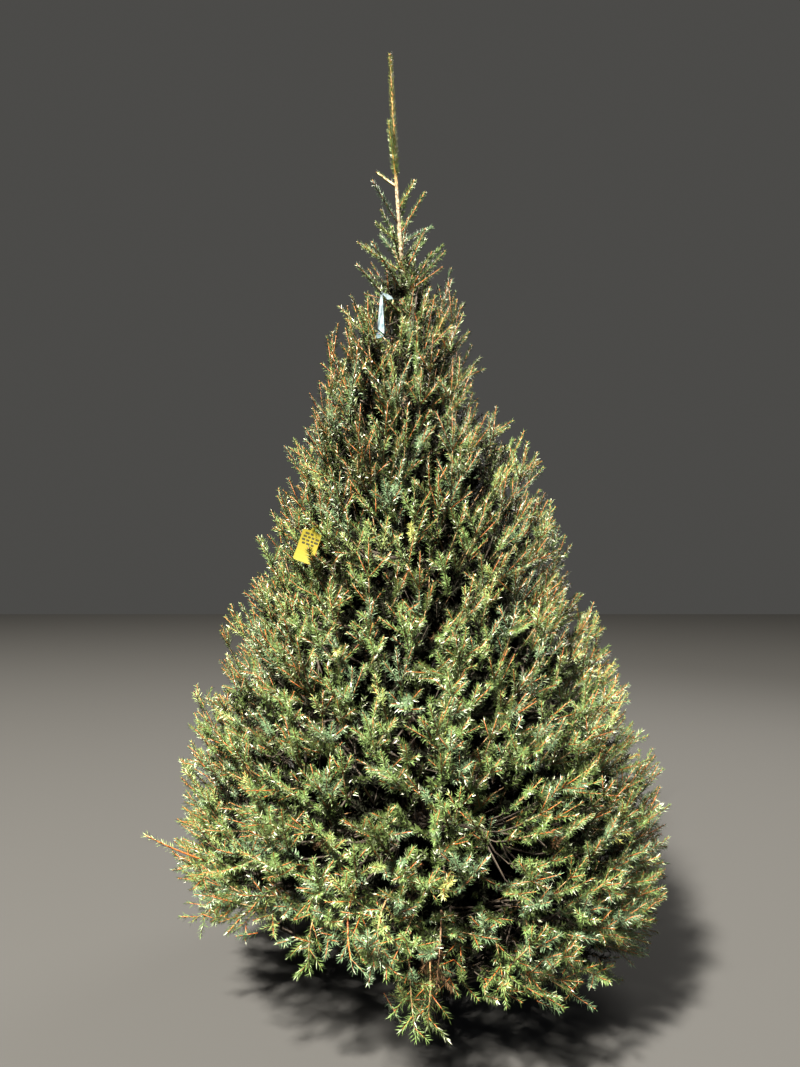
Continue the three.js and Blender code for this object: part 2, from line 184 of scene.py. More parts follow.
def tierHeight(tier, radius):
    atSurface = crown["firstTier"] + crown["tierSpacing"] * tier
    return atSurface + along(crown["tierSlopes"], tier) * (radius - along(crown["radii"], atSurface))


def tierFloor(tier, radius):
    if tier == 0:
        return crown["skirtHeight"] + 0 * radius
    return tierHeight(tier - 0.5, radius)


def spotIn(space, across, out, up):
    # Shares across, out and up a space, as spots: height and radius settle together in a few rounds
    across, out, up = np.broadcast_arrays(*[np.asarray(v, float) for v in (across, out, up)])
    radius = np.full(across.shape, space["inner"])
    for _ in range(8):
        floor = tierFloor(space["tier"], radius)
        height = floor + (tierFloor(space["tier"] + 1, radius) - floor) * up
        radius = space["inner"] + (along(crown["radii"], height) - space["inner"]) * out
    return axisAt(height) + headingTo(space["from"] + space["width"] * across) * radius[..., None]


def bearingOf(spots):
    return np.arctan2(spots[..., 1], spots[..., 0] - along(trunkShape["lean"], spots[..., 2]))


def fromAxis(spots):
    return np.hypot(spots[..., 0] - along(trunkShape["lean"], spots[..., 2]), spots[..., 1])


def hemAt(spots):
    return along(skirt["floor"], np.degrees(bearingOf(spots)))


def overSurface(spots):
    # How far each spot stands out over the crown's surface
    left = np.clip(-np.cos(bearingOf(spots)) - 0.25, 0, 1)
    hollow = sum(depth * left * np.exp(-((spots[..., 2] - height) / halfSpread) ** 2)
                 for height, halfSpread, depth in crown["leftHollows"])
    return fromAxis(spots) - along(crown["radii"], spots[..., 2]) + hollow


def makeSpaces():
    spaces = []
    for tier, count in enumerate(crown["boughCounts"] + crown["trunkMassCounts"]):
        width = 2 * math.pi / count
        first = math.radians(tier * crown["goldenTurn"] - 90)
        reach = along(crown["radii"], crown["firstTier"] + crown["tierSpacing"] * tier)
        onBough = tier < len(crown["boughCounts"])
        inner = reach * crown["boughShare"] if onBough else crown["trunkMassInner"]
        for at in range(count):
            spaces.append({"tier": tier, "name": f"{tier + 1}_{at + 1}", "onBough": onBough,
                           "from": first + (at - 0.5) * width, "width": width, "inner": inner})
    return spaces


def limbPath(space, count=14):
    # The bough's line from the trunk's axis, carried on through its mass as the stem
    root = axisAt(tierHeight(space["tier"], 0.0))
    steps = np.linspace(0, 1, count)[:, None]
    end = spotIn(space, 0.5, crown["stemEnd"], 0.5)
    if not space["onBough"]:
        return root + (end - root) * steps
    tip = spotIn(space, 0.5, 0.0, 0.5)
    drop = np.array([0, 0, -boughShape["sag"] * norm(tip - root)])
    bough = root + (tip - root) * steps + drop * steps * (1 - steps)
    end[2] = max(end[2], hemAt(end) + skirt["limbOver"])
    bend = tip + unit(bough[-1] - bough[-2]) * norm(end - tip) / 2
    return np.concatenate([bough, bowed(tip, bend, end, count)[1:]])


def limbRadii(space, count):
    if not space["onBough"]:
        return np.linspace(1, 0.4, count) * boughShape["trunkStemRadius"]
    share = space["tier"] / (len(crown["boughCounts"]) - 1)
    low, high = boughShape["rootRadii"]
    return np.linspace(1, 0.3, count) * (low + (high - low) * share)


# Materials

def toLinear(hexColour):
    parts = [int(hexColour[at:at + 2], 16) / 255 for at in (1, 3, 5)]
    return [c / 12.92 if c <= 0.04045 else ((c + 0.055) / 1.055) ** 2.4 for c in parts] + [1.0]


def newMaterial(name, roughness, sheen=0.5):
    material = bpy.data.materials.new(name)
    material.use_nodes = True
    shader = material.node_tree.nodes["Principled BSDF"]
    shader.inputs["Roughness"].default_value = roughness
    shader.inputs["Specular IOR Level"].default_value = sheen
    return material, shader


def addNode(material, kind, links=None, inputs=None, **settings):
    # One node, with links as {its input: (other node, output)}, its fixed inputs and its settings
    tree = material.node_tree
    node = tree.nodes.new("ShaderNode" + kind)
    for name, value in settings.items():
        setattr(node, name, value)
    for name, value in (inputs or {}).items():
        node.inputs[name].default_value = value
    for name, (other, output) in (links or {}).items():
        tree.links.new(other.outputs[output], node.inputs[name])
    return node


def addRamp(material, source, output, stops):
    node = addNode(material, "ValToRGB", {"Fac": (source, output)})
    ramp = node.color_ramp
    while len(ramp.elements) < len(stops):
        ramp.elements.new(0.5)
    for element, (place, colour) in zip(ramp.elements, stops):
        element.position = place
        element.color = toLinear(colour)
    return node


def feedShader(material, shader, colour, colourOutput, height, heightOutput, strength, distance):
    # Colour and relief into the shader
    links = material.node_tree.links
    links.new(colour.outputs[colourOutput], shader.inputs["Base Color"])
    if distance:
        bump = addNode(material, "Bump", {"Height": (height, heightOutput)},
                       {"Strength": strength, "Distance": distance})
        links.new(bump.outputs["Normal"], shader.inputs["Normal"])


def plainMaterial(name, hexColour, roughness, sheen):
    # One even colour. On a needle the sheen is its waxy skin's, over a deep green
    material, shader = newMaterial(name, roughness, sheen)
    shader.inputs["Base Color"].default_value = toLinear(hexColour)
    return material


def grainyMaterial(name, dark, light, roughness, grain, blend=0.2, detail=3, creases=0.0, sheen=0.5):
    # Two colours by a noise, grain in metres: twig bark, or thin plastic with small creases
    material, shader = newMaterial(name, roughness, sheen)
    place = addNode(material, "TexCoord")
    noise = addNode(material, "TexNoise", {"Vector": (place, "Object")},
                    {"Scale": 1 / grain, "Detail": detail})
    ramp = addRamp(material, noise, "Fac", [(0.5 - blend, dark), (0.5 + blend, light)])
    feedShader(material, shader, ramp, "Color", noise, "Fac", 0.4, creases)
    return material


needleLooks = {
    "deep": ("needleDeepGreen", "#344220", 0.38, 0.55),
    "mid": ("needleMidGreen", "#4e6438", 0.38, 0.6),
    "blue": ("needleBlueGreen", "#4a6147", 0.36, 0.65),
    "light": ("needleLightGreen", "#6a7c4a", 0.38, 0.6),
    "young": ("needleYellowGreen", "#7a824a", 0.42, 0.5),
    # shade: near-black needles, painted shade for the dark inside of the crown
    "shade": ("needlePaintedShadeGreen", "#0a0d06", 0.8, 0.08),
    "brown": ("needleDryBrown", "#3a2a19", 0.8, 0.2),
    # pale: a few needles at random, partly their pale side and partly painted glints
    "pale": ("needlePaleSideAndGlint", "#8b987a", 0.4, 0.6),
}
needleOrder = list(needleLooks)
needleMaterials = [plainMaterial(*look) for look in needleLooks.values()]

twigLooks = {
    "shoot": ("shootBarkOrange", "#612a0f", "#ab5d22", 0.55, 0.006),
    "older": ("twigBarkTan", "#553e2a", "#876a45", 0.7, 0.008),
    # grey: near-black grey-brown for the inner branches, twigs and shoots, partly their own bark and partly
    # painted shade
    "grey": ("twigBarkGreyWithPaintedShade", "#1b150f", "#2e251d", 0.85, 0.01),
    "dead": ("deadTwigBrown", "#3a2a1e", "#6e543c", 0.85, 0.01),
    "gold": ("leaderBarkGold", "#8a5a2a", "#c9963f", 0.6, 0.006),
    "red": ("shootBarkRed", "#33110a", "#6b3320", 0.5, 0.008),
    "pale": ("stubBarkPale", "#745a3a", "#b5a482", 0.7, 0.02),
    "bud": ("budScalesBrown", "#613516", "#8d5624", 0.6, 0.004),
}
twigOrder = list(twigLooks)
twigMaterials = [grainyMaterial(*look) for look in twigLooks.values()]


# Joined meshes from arrays, for what the crown has by the thousand

def joinedMesh(name, parts, materials, smooth=False):
    # Joins parts of (vertices, triangles, looks), less what would touch the ground
    counts = np.cumsum([0] + [len(part[0]) for part in parts])
    spots = np.concatenate([part[0] for part in parts])
    triangles = np.concatenate([part[1] + count for part, count in zip(parts, counts)])
    looks = np.concatenate([part[2] for part in parts])
    keep = spots[triangles][..., 2].min(axis=1) > skirt["overGround"]
    used, triangles = np.unique(triangles[keep], return_inverse=True)
    total = len(triangles.ravel()) // 3
    mesh = bpy.data.meshes.new(name)
    mesh.vertices.add(len(used))
    mesh.vertices.foreach_set("co", spots[used].astype(np.float32).ravel())
    mesh.loops.add(total * 3)
    mesh.loops.foreach_set("vertex_index", triangles.astype(np.int32).ravel())
    mesh.polygons.add(total)
    mesh.polygons.foreach_set("loop_start", np.arange(0, total * 3, 3, dtype=np.int32))
    mesh.polygons.foreach_set("material_index", looks[keep].astype(np.int32))
    mesh.polygons.foreach_set("use_smooth", np.full(total, smooth))
    for material in materials:
        mesh.materials.append(material)
    mesh.update(calc_edges=True)
    piece = bpy.data.objects.new(name, mesh)
    bpy.context.scene.collection.objects.link(piece)
    return piece


def twigMesh(name, parts):
    return joinedMesh(name, parts, twigMaterials, smooth=True)


def needleMesh(name, parts):
    return joinedMesh(name, parts, needleMaterials)


def dress(piece, slot, *nodes):
    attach(piece, "root")
    if nodes:
        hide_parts(*nodes)


needleForm = {
    "turn": 2.39996,  # radians round the shoot from one needle to the next
    "under": 0.6,  # how far the ones underneath spread, against the ones on top
    "lean": 73,  # degrees from the shoot, at its root
    "leanLost": 23,  # towards its tip
    "leanSpread": 13,
    "leanOnTop": 6,
    "camber": 0.1,
    "fold": 0.32,
    "widest": 0.42,
}


def needlesOn(shoots, perMetre, length, width, folded=True, pale=0.0):
    # Needles round each shoot: leaning forwards, flatter underneath. The outer ones are folded kites
    # and the shaded ones plain points. Returns vertices, triangles and the material of each triangle
    counts = np.maximum(6, (shoots["length"] * perMetre * shoots["fill"]).astype(int))
    which = np.repeat(np.arange(len(counts)), counts)
    total = len(which)
    order = np.arange(total) - np.repeat(np.cumsum(counts) - counts, counts)
    share = (order + uniform(0.1, 0.9, total)) / counts[which]
    shoot = takeShoots(shoots, which)
    share = shoot["bare"] + share * (1 - shoot["bare"])
    heading, side = shoot["heading"], shoot["side"]
    base = (shoot["root"] + heading * (share * shoot["length"])[:, None]
            + shoot["bend"] * (share ** 2)[:, None])
    turn = order * needleForm["turn"] + spread(0.5, total)
    outX, outZ = np.cos(turn), np.sin(turn)
    outZ = np.where(outZ < 0, outZ * needleForm["under"], outZ)
    radial = unit(side * outX[:, None] + np.cross(heading, side) * outZ[:, None])
    lean = needleForm["lean"] - needleForm["leanLost"] * share + bell(needleForm["leanSpread"], total)
    lean = np.radians(lean - needleForm["leanOnTop"] * (outZ > 0.6)) * shoot["lean"]
    pointing = unit(heading * np.cos(lean)[:, None] + radial * np.sin(lean)[:, None])
    size = length * shoot["needle"] * (0.72 + 0.34 * np.sin(np.pi * np.clip(share, 0.08, 0.9)))
    size = size * (1 + spread(0.14, total))
    across = turnAbout(unit(np.cross(pointing, heading)), pointing, spread(0.7, total))
    half = (across * (width / 2)) * shoot["wide"][:, None]
    fold = np.cross(pointing, across) * (width * needleForm["fold"])
    middle = base + pointing * (needleForm["widest"] * size)[:, None] - fold
    tip = base + pointing * size[:, None] + heading * (needleForm["camber"] * size)[:, None]
    looks = shoot["look"]
    # a few needles at random in the pale look: partly their pale side, partly painted glints
    if pale:
        looks = np.where(uniform(0, 1, total) < pale, needleOrder.index("pale"), looks)
    if not folded:
        spots = np.stack([base, middle + half * 2, tip], axis=1).reshape(-1, 3)
        return spots, np.arange(total * 3).reshape(-1, 3), looks
    spots = np.stack([base, middle + half, tip, middle - half], axis=1).reshape(-1, 3)
    first = np.arange(total)[:, None] * 4
    triangles = np.concatenate([first + [0, 1, 2], first + [0, 2, 3]], axis=1).reshape(-1, 3)
    return spots, triangles, np.repeat(looks, 2)


def ringAbout(ahead, sides):
    # A ring of unit vectors square to each heading
    flat = np.where(np.abs(ahead[..., 2:3]) > 0.95, [1.0, 0, 0], [0, 0, 1.0])
    side = unit(np.cross(flat, ahead))
    turns = 2 * np.pi * np.arange(sides)[:, None] / sides
    return side[..., None, :] * np.cos(turns) + np.cross(ahead, side)[..., None, :] * np.sin(turns)


def tubes(points, radii, sides, look):
    # Closed tapering tubes of few sides: points are (tubes, rings, 3), or (rings, 3) for one tube
    points = points.reshape(-1, *points.shape[-2:])
    count, rings = points.shape[:2]
    radii = np.broadcast_to(radii, (count, rings))[:, :, None, None]
    spots = points[:, :, None, :] + ringAbout(unit(np.gradient(points, axis=1)), sides) * radii
    triangles = []
    for level in range(rings - 1):
        for edge in range(sides):
            a, b = level * sides + edge, level * sides + (edge + 1) % sides
            triangles += [(a, b, b + sides), (a, b + sides, a + sides)]
    top = (rings - 1) * sides
    for edge in range(1, sides - 1):
        triangles += [(0, edge + 1, edge), (top, top + edge, top + edge + 1)]
    starts = np.arange(count)[:, None, None] * rings * sides
    triangles = (np.array(triangles)[None] + starts).reshape(-1, 3)
    return spots.reshape(-1, 3), triangles, np.full(len(triangles), twigOrder.index(look))


def budsAt(tips, headings, radius, length, look="bud"):
    # Small pointed buds, three sided
    belt = (tips + headings * (0.3 * length))[:, None] + ringAbout(headings, 3) * radius
    ends = np.stack([tips - headings * (0.15 * length), tips + headings * length], axis=1)
    pattern = np.array([(3, 1, 0), (3, 2, 1), (3, 0, 2), (4, 0, 1), (4, 1, 2), (4, 2, 0)])
    triangles = (pattern[None] + (np.arange(len(tips)) * 5)[:, None, None]).reshape(-1, 3)
    spots = np.concatenate([belt, ends], axis=1).reshape(-1, 3)
    return spots, triangles, np.full(len(triangles), twigOrder.index(look))


# Shoots as a dictionary of rows: where each starts, where it goes and what its needles are like

usualShoot = {"fill": 1.0, "needle": 1.0, "wide": 1.0, "bare": 0.0, "lean": 1.0}


def shootSet(root, heading, side, length, looks, lift=0.06, **habits):
    root, heading, side = np.atleast_2d(root, heading, side)
    length = np.atleast_1d(length)
    if isinstance(looks, str):
        looks = np.full(len(root), needleOrder.index(looks))
    bend = (np.array([0, 0, 1.0]) - heading * heading[:, 2:3]) * (lift * length)[:, None]
    shoots = {"root": root, "heading": heading, "side": side, "length": length, "bend": bend, "look": looks}
    for name, usual in usualShoot.items():
        shoots[name] = np.broadcast_to(habits.get(name, usual), len(root))
    return shoots


def mergeShoots(sets):
    return {key: np.concatenate([shoots[key] for shoots in sets]) for key in sets[0]}


def takeShoots(shoots, keep):
    return {key: value[keep] for key, value in shoots.items()}


def shootTips(shoots):
    return shoots["root"] + shoots["heading"] * shoots["length"][:, None] + shoots["bend"]


def shootTubes(shoots, radius, look, rings=3):
    shares = np.linspace(0, 1, rings)
    points = (shoots["root"][:, None] + shoots["heading"][:, None]
              * (shoots["length"][:, None] * shares)[..., None]
              + shoots["bend"][:, None] * (shares ** 2)[None, :, None])
    return tubes(points, radius * np.linspace(1, 0.55, rings), 3, look)


def pickLooks(shares, count):
    names = list(shares)
    odds = np.array([shares[name] for name in names])
    picked = randomRow.choice(len(names), size=count, p=odds / odds.sum())
    return np.array([needleOrder.index(name) for name in names])[picked]


# The twigs' rule: an even grid of spots over the crown's surface, a twig from the mass's stem to
# each, and young shoots forking from its last two nodes

twigRule = {
    "spacing": [(0, 0.08), (3, 0.084), (5, 0.09), (7, 0.096)],  # by tier, between twigs over the surface
    "shaded": [  # the layers behind: spacing, depth, needles' width, share of the surface's needles
        (0.1, 0.1, 0.0047, 0.66),
        (0.122, 0.22, 0.0095, 0.78),
        (0.15, 0.36, 0.014, 0.82),
    ],
    "innermost": (0.17, 0.47, 0.018, 0.85),  # one more in the two lowest tiers
    "shadedOlder": 0.0036,  # narrowest needles on older wood
    "deepFrom": 0.2,  # depth from which needles are longer and side shoots have no wood of their own
    "deepLonger": 1.25,
    "shootLength": (0.09, 0.155),
    "stretch": [(0.3, 0.66), (0.9, 0.72), (1.4, 0.85), (2.0, 1.0), (2.5, 1.35)],  # by height
    "forkAngle": (0.5, 0.85),  # radians between a side shoot and the twig
    "forks": [(1, 1, 0.82, 1.0), (1, -1, 0.82, 1.0), (0, 1, 0.66, 0.8), (0, -1, 0.66, 0.8)],
    "olderLength": (0.09, 0.14),
    "shootRadius": 0.0015,
    "olderRadius": 0.0026,
    "branchRadii": (0.0035, 0.0052),  # in a narrow part of the crown, in a wide one
    "wideFrom": 0.3,
    "budRadius": 0.0021,
    "budLength": 0.007,
    "needlesPerMetre": 760,
    "needleLength": 0.019,
    "needleWidth": 0.0023,
    "paleAndGlintShare": 0.04,  # of the outer needles, in pale grey-green at random: partly their pale side, partly painted glints
    "riseSpread": 15,  # degrees
    "bearingSpread": 0.42,
    "rollSpread": 0.5,
    "sunk": 0.022,
    "deepest": 0.62,  # share of the crown's radius past which no layer goes
    "edgeSunk": 0.05,  # how far a mass's upper and lower edges stand back
    "branchShort": 0.06,
    "cell": 0.2,  # sprays stand out or back together over cells of this size
    "cellSpread": 0.042,
    "cellOut": 0.036,
    "pocket": 0.1,  # depth of a few deep pockets, and their share
}

lowShares = {"deep": 0.29, "mid": 0.36, "blue": 0.3, "light": 0.046, "young": 0.004}
highShares = {"deep": 0.32, "mid": 0.43, "blue": 0.13, "light": 0.11, "young": 0.01}
olderShares = {"deep": 0.6, "mid": 0.3, "blue": 0.1}
# The layers behind the surface are mostly the near-black shade look: painted shade for the crown's dark
# inside
innerShares = {"deep": 0.1, "shade": 0.893, "brown": 0.007}
behindShares = {"deep": 0.5, "shade": 0.493, "brown": 0.007}  # just behind the low surface
topShares = {"deep": 0.6, "shade": 0.4}

clearings = [  # low corner, high corner: kept free of shoots, so that tag and ribbon show
    ((-0.432, -0.7, 1.492), (-0.336, -0.436, 1.615)),
    ((-0.176, -0.5, 2.305), (-0.104, -0.03, 2.5)),
]
clearMargin = 0.012
boxMargin = 0.04  # how far a tip may stand past the solids' box


def sharesFor(tier, layer):
    if layer and tier == 8:
        return topShares
    if layer:
        return behindShares if layer == 1 and tier < 4 else innerShares
    blend = min(1, tier / 5)
    return {name: low + (highShares[name] - low) * blend for name, low in lowShares.items()}


def surfaceSize(space):
    # A mass's height up the crown's surface, and the crown's radius halfway up it
    low, middle, high = spotIn(space, 0.5, 1, [0, 0.5, 1])
    return float(norm(high - low)), fromAxis(middle)


def gridOver(space, spacing):
    # An even, jittered grid of (across, up) over a mass's share of the surface
    rows = max(1, round(surfaceSize(space)[0] / spacing))
    across, up = [], []
    for row in range(rows):
        radius = fromAxis(spotIn(space, 0.5, 1, (row + 0.5) / rows))
        columns = max(2, round(radius * space["width"] / spacing))
        across.append((np.arange(columns) + 0.5 + (row % 2) * 0.5 - 0.25 + spread(0.38, columns)) / columns)
        up.append((row + 0.5 + spread(0.42, columns)) / rows)
    return np.clip(np.concatenate(across), 0, 1), np.clip(np.concatenate(up), 0.01, 0.99)


def growTwigs(space, across, up, depths):
    # A twig's tip, heading and side at each spot of the grid, set back by its depth
    tips = spotIn(space, across, 1.0, up)
    count = len(tips)
    hem = hemAt(tips)
    sunk = (hem - skirt["droopUnder"]) * np.clip(1 - (tips[:, 2] - hem) / skirt["droopOver"], 0, 1)
    rise = along(crown["rise"], tips[:, 2] - sunk)
    rise = np.radians(rise + bell(twigRule["riseSpread"], count))
    bearing = bearingOf(tips) + bell(twigRule["bearingSpread"], count)
    heading = headingTo(bearing, rise)
    tips = tips - headingTo(bearingOf(tips)) * (depths + np.abs(bell(twigRule["sunk"], count)))[:, None]
    side = turnAbout(np.cross([0, 0, 1.0], headingTo(bearing)), heading, bell(twigRule["rollSpread"], count))
    return tips, heading, side


def shootsFrom(tips, heading, side, shares, inner):
    # Young shoots at each twig's two last nodes, and the twig's own older, needled lengths
    count = len(tips)
    over = np.cross(heading, side)
    stretch = along(twigRule["stretch"], tips[:, 2])
    long = uniform(*twigRule["shootLength"], count) * stretch
    older = uniform(*twigRule["olderLength"], count) * np.minimum(stretch, 1)
    lastNode = tips - heading * long[:, None]
    sink = np.array([0, 0, -1.0]) * 0.12 - headingTo(bearingOf(lastNode)) * 0.25
    olderHeading = unit(heading - sink * 0.6)
    firstNode = lastNode - olderHeading * older[:, None]
    looks = pickLooks(shares, count)
    leading = shootSet(lastNode, heading, side, long, looks)
    forked = []
    for last, hand, share, presence in twigRule["forks"][:2 if inner else 4]:
        towards = turnAbout(heading, over, hand * uniform(*twigRule["forkAngle"], count))
        towards = unit(turnAbout(towards, heading, spread(0.5, count)) + np.array([0, 0, 0.1]))
        keep = uniform(0, 1, count) < presence
        forkLength = long * share * (1 + spread(0.22, count))
        changed = np.where(uniform(0, 1, count) < 0.3, pickLooks(shares, count), looks)
        forked.append(takeShoots(shootSet(lastNode if last else firstNode, towards,
                                          unit(np.cross(over, towards)), forkLength, changed), keep))
    olderLooks = pickLooks(shares if inner else olderShares, count)
    olderSet = shootSet(firstNode, olderHeading, side, older, olderLooks, fill=0.75, needle=0.92, lift=0.0)
    return leading, mergeShoots(forked), olderSet


def within(spots, corners, margin):
    low, high = [np.array(corner) for corner in corners]
    return np.all((spots > low - margin) & (spots < high + margin), axis=1)


def isClear(shoots, outside=crown["outside"]):
    # Which shoots keep inside the crown and the box, over the hem and out of the clearings
    tips = shootTips(shoots)
    clear = overSurface(tips) < outside
    for share in (0.0, 0.33, 0.66, 1.0):
        spot = shoots["root"] + shoots["heading"] * (shoots["length"] * share)[:, None]
        for corners in clearings:
            clear &= ~within(spot, corners, clearMargin)
    clear &= within(tips, cadBox, boxMargin)
    hem = hemAt(tips) + bell(skirt["ragged"], len(tips))
    return clear & (tips[:, 2] > np.maximum(hem, 0.02))


def growMass(space):
    # Stem, branches, twigs, shoots, needles and buds of one mass
    path = limbPath(space)
    stem = path[len(path) // 2:] if space["onBough"] else path
    stemHeading = unit(stem[-1] - stem[0])
    woods, needleSets, shadedSets = [], [], []
    tall, radius = surfaceSize(space)
    columns = max(2, round(radius * space["width"] / twigRule["cell"]))
    rows = max(1, round(tall / twigRule["cell"]))
    cells = columns * rows
    cellDepth = np.abs(bell(twigRule["cellSpread"], cells)) - twigRule["cellOut"]
    cellDepth += twigRule["pocket"] * (uniform(0, 1, cells) < twigRule["pocket"])
    thick = twigRule["branchRadii"][int(radius > twigRule["wideFrom"])]
    thin, shootRadius = twigRule["olderRadius"], twigRule["shootRadius"]
    layers = [(along(twigRule["spacing"], space["tier"]), 0.0, twigRule["needleWidth"], 1.0)]
    layers += twigRule["shaded"]
    if space["tier"] < 2:
        layers.append(twigRule["innermost"])
    for layer, (spacing, depth, width, fullness) in enumerate(layers):
        inner = layer > 0
        if depth > radius * twigRule["deepest"]:
            continue
        across, up = gridOver(space, spacing)
        cell = (np.minimum((across * columns).astype(int), columns - 1)
                + columns * np.minimum((up * rows).astype(int), rows - 1))
        depths = depth + cellDepth[cell] + twigRule["edgeSunk"] * np.abs(2 * up - 1) ** 4
        tips, heading, side = growTwigs(space, across, up, depths)
        leading, forked, olderSet = shootsFrom(tips, heading, side, sharesFor(space["tier"], layer), inner)
        firstNode, olderHeading = olderSet["root"], olderSet["heading"]

        # a branch from the stem to each cell's middle, and from it a twig to each first node
        ends = np.stack([np.bincount(cell, firstNode[:, axis], cells) for axis in range(3)], axis=-1)
        ends = ends / np.maximum(np.bincount(cell, minlength=cells), 1)[:, None]
        starts = spotOn(stem, uniform(0.25, 0.95, cells) * (len(stem) - 1))
        ends = ends - unit(ends - axisAt(ends[:, 2])) * twigRule["branchShort"]
        gap = norm(ends - starts, axis=1, keepdims=True)
        bends = (starts + ends) / 2 + stemHeading * gap * 0.2 - np.array([0, 0, 0.06]) * gap
        branches = bowed(starts, bends, ends, 6)
        outside = -0.02 if inner else crown["outside"]
        alive = (firstNode[:, 2] > hemAt(firstNode)) & (overSurface(firstNode) < outside - 0.01)
        if not inner:
            used = np.flatnonzero(np.bincount(cell, alive, cells))
            woods.append(tubes(branches[used], np.linspace(1, 0.55, 6) * thick, 5, "grey"))
        share = uniform(0.2, 1.0, len(cell)) * 5
        low = np.floor(share).astype(int).clip(0, 4)
        part = (share - low)[:, None]
        twigStart = branches[cell, low] * (1 - part) + branches[cell, low + 1] * part
        reach = norm(firstNode - twigStart, axis=1, keepdims=True)
        twigPoints = bowed(twigStart, firstNode - olderHeading * reach * 0.55, firstNode, 4)
        woods.append(tubes(twigPoints[alive], np.linspace(1.25, 1.0, 4) * thin, 3, "grey"))

        leading = takeShoots(leading, alive & isClear(leading, outside))
        forked = takeShoots(forked, isClear(forked, outside))
        olderSet = takeShoots(olderSet, alive & isClear(olderSet, outside))
        # inner shoots take the near-black grey instead of orange: painted shade
        shootLook = "grey" if inner else "shoot"
        woods.append(shootTubes(olderSet, thin, "older", 2))
        woods.append(shootTubes(leading, shootRadius, shootLook, 2 if inner else 3))
        if depth < twigRule["deepFrom"]:
            woods.append(shootTubes(forked, shootRadius, shootLook, 2))
        if not inner:
            for shoots in (leading, forked):
                woods.append(budsAt(shootTips(shoots), shoots["heading"], twigRule["budRadius"],
                                    twigRule["budLength"]))
        perMetre = twigRule["needlesPerMetre"] * fullness
        long = twigRule["needleLength"] * (twigRule["deepLonger"] if depth > twigRule["deepFrom"] else 1.0)
        where = shadedSets if inner else needleSets
        pale = 0 if inner else twigRule["paleAndGlintShare"]
        where.append(needlesOn(leading, perMetre, long, width, not inner, pale))
        where.append(needlesOn(forked, perMetre, long, width, False, pale))
        where.append(needlesOn(olderSet, perMetre, long, max(width, twigRule["shadedOlder"]), False))
        if not inner:  # needles on the outer third of the twig behind them
            gone = firstNode - twigPoints[:, -2]
            behind = shootSet(twigPoints[:, -2], unit(gone), side, norm(gone, axis=1),
                              pickLooks(olderShares, len(cell)), fill=0.6, lift=0)
            behind = takeShoots(behind, alive & isClear(behind))
            shadedSets.append(needlesOn(behind, perMetre, long, 0.004, False))
    return woods, needleSets, shadedSets


trailing = [  # start, bend, end, bark, needles, number of side shoots, fill
    ((-0.48, -0.25, 0.42), (-0.65, -0.33, 0.42), (-0.765, -0.34, 0.325), "older", "mid", 7, 0.75),
    ((-0.7, -0.33, 0.51), (-0.82, -0.38, 0.57), (-0.9, -0.4, 0.624), "shoot", "light", 0, 0.9),
    ((-0.3, -0.56, 0.52), (-0.36, -0.69, 0.49), (-0.345, -0.69, 0.33), "older", "mid", 5, 1.0),
    ((-0.22, -0.62, 0.54), (-0.25, -0.79, 0.53), (-0.215, -0.79, 0.385), "shoot", "blue", 4, 1.0),
    ((-0.1, -0.66, 0.56), (-0.17, -0.83, 0.56), (-0.14, -0.81, 0.405), "older", "blue", 5, 1.0),
    ((-0.06, -0.6, 0.4), (-0.07, -0.82, 0.38), (-0.045, -0.78, 0.2), "older", "mid", 6, 1.0),
    ((-0.01, -0.62, 0.4), (0.0, -0.84, 0.42), (-0.015, -0.82, 0.25), "older", "deep", 6, 1.0),
    ((0.03, -0.66, 0.49), (0.02, -0.84, 0.5), (0.008, -0.835, 0.365), "dead", "brown", 2, 1.0),
]


def trailingTwigs():
    # Low twigs at measured places, each from the nearest limb, with side shoots left and right
    limbs = np.concatenate([limbPath(space) for space in spaces if space["tier"] < 2])
    woods, needles = [], []
    for start, bend, end, bark, needle, count, fill in trailing:
        start, bend, end = np.array([start, bend, end])
        back = start - 0.6 * (bend - start)
        line = bowed(start, bend, end, 9)
        woods.append(tubes(bowed(nearest(limbs, back), back, start, 6), 0.0036, 5, bark))
        woods.append(tubes(line, np.linspace(0.0034, 0.0016, 9), 5, bark))
        shoots = []
        for at in range(4, 8):
            step = line[at + 1] - line[at]
            shoots.append(shootSet(line[at], unit(step), unit(np.cross([0.3, 0.9, 0.2], step)),
                                   norm(step), needle, fill=fill, lift=0))
        for at in range(count):
            share = 0.3 + 0.66 * (at + 0.5) / count
            place = share * 8
            step = unit(line[min(8, int(place) + 1)] - line[int(place)])
            level = unit(np.cross(step, [0.2, 0.9, 0.3]))
            towards = unit(step * 0.8 + level * (0.75 if at % 2 else -0.75) + spread(0.2, 3))
            shoots.append(shootSet(spotOn(line, place), towards, unit(np.cross([0, 0.3, 1.0], towards)),
                                   uniform(0.055, 0.1, 1) * (1.15 - 0.4 * share), needle,
                                   fill=fill, lift=0.02))
        shoots = mergeShoots(shoots)
        woods.append(shootTubes(takeShoots(shoots, slice(4, None)), twigRule["shootRadius"],
                                "dead" if bark == "dead" else "shoot"))
        needles.append(needlesOn(shoots, twigRule["needlesPerMetre"], 0.021, twigRule["needleWidth"]))
    return woods, needles


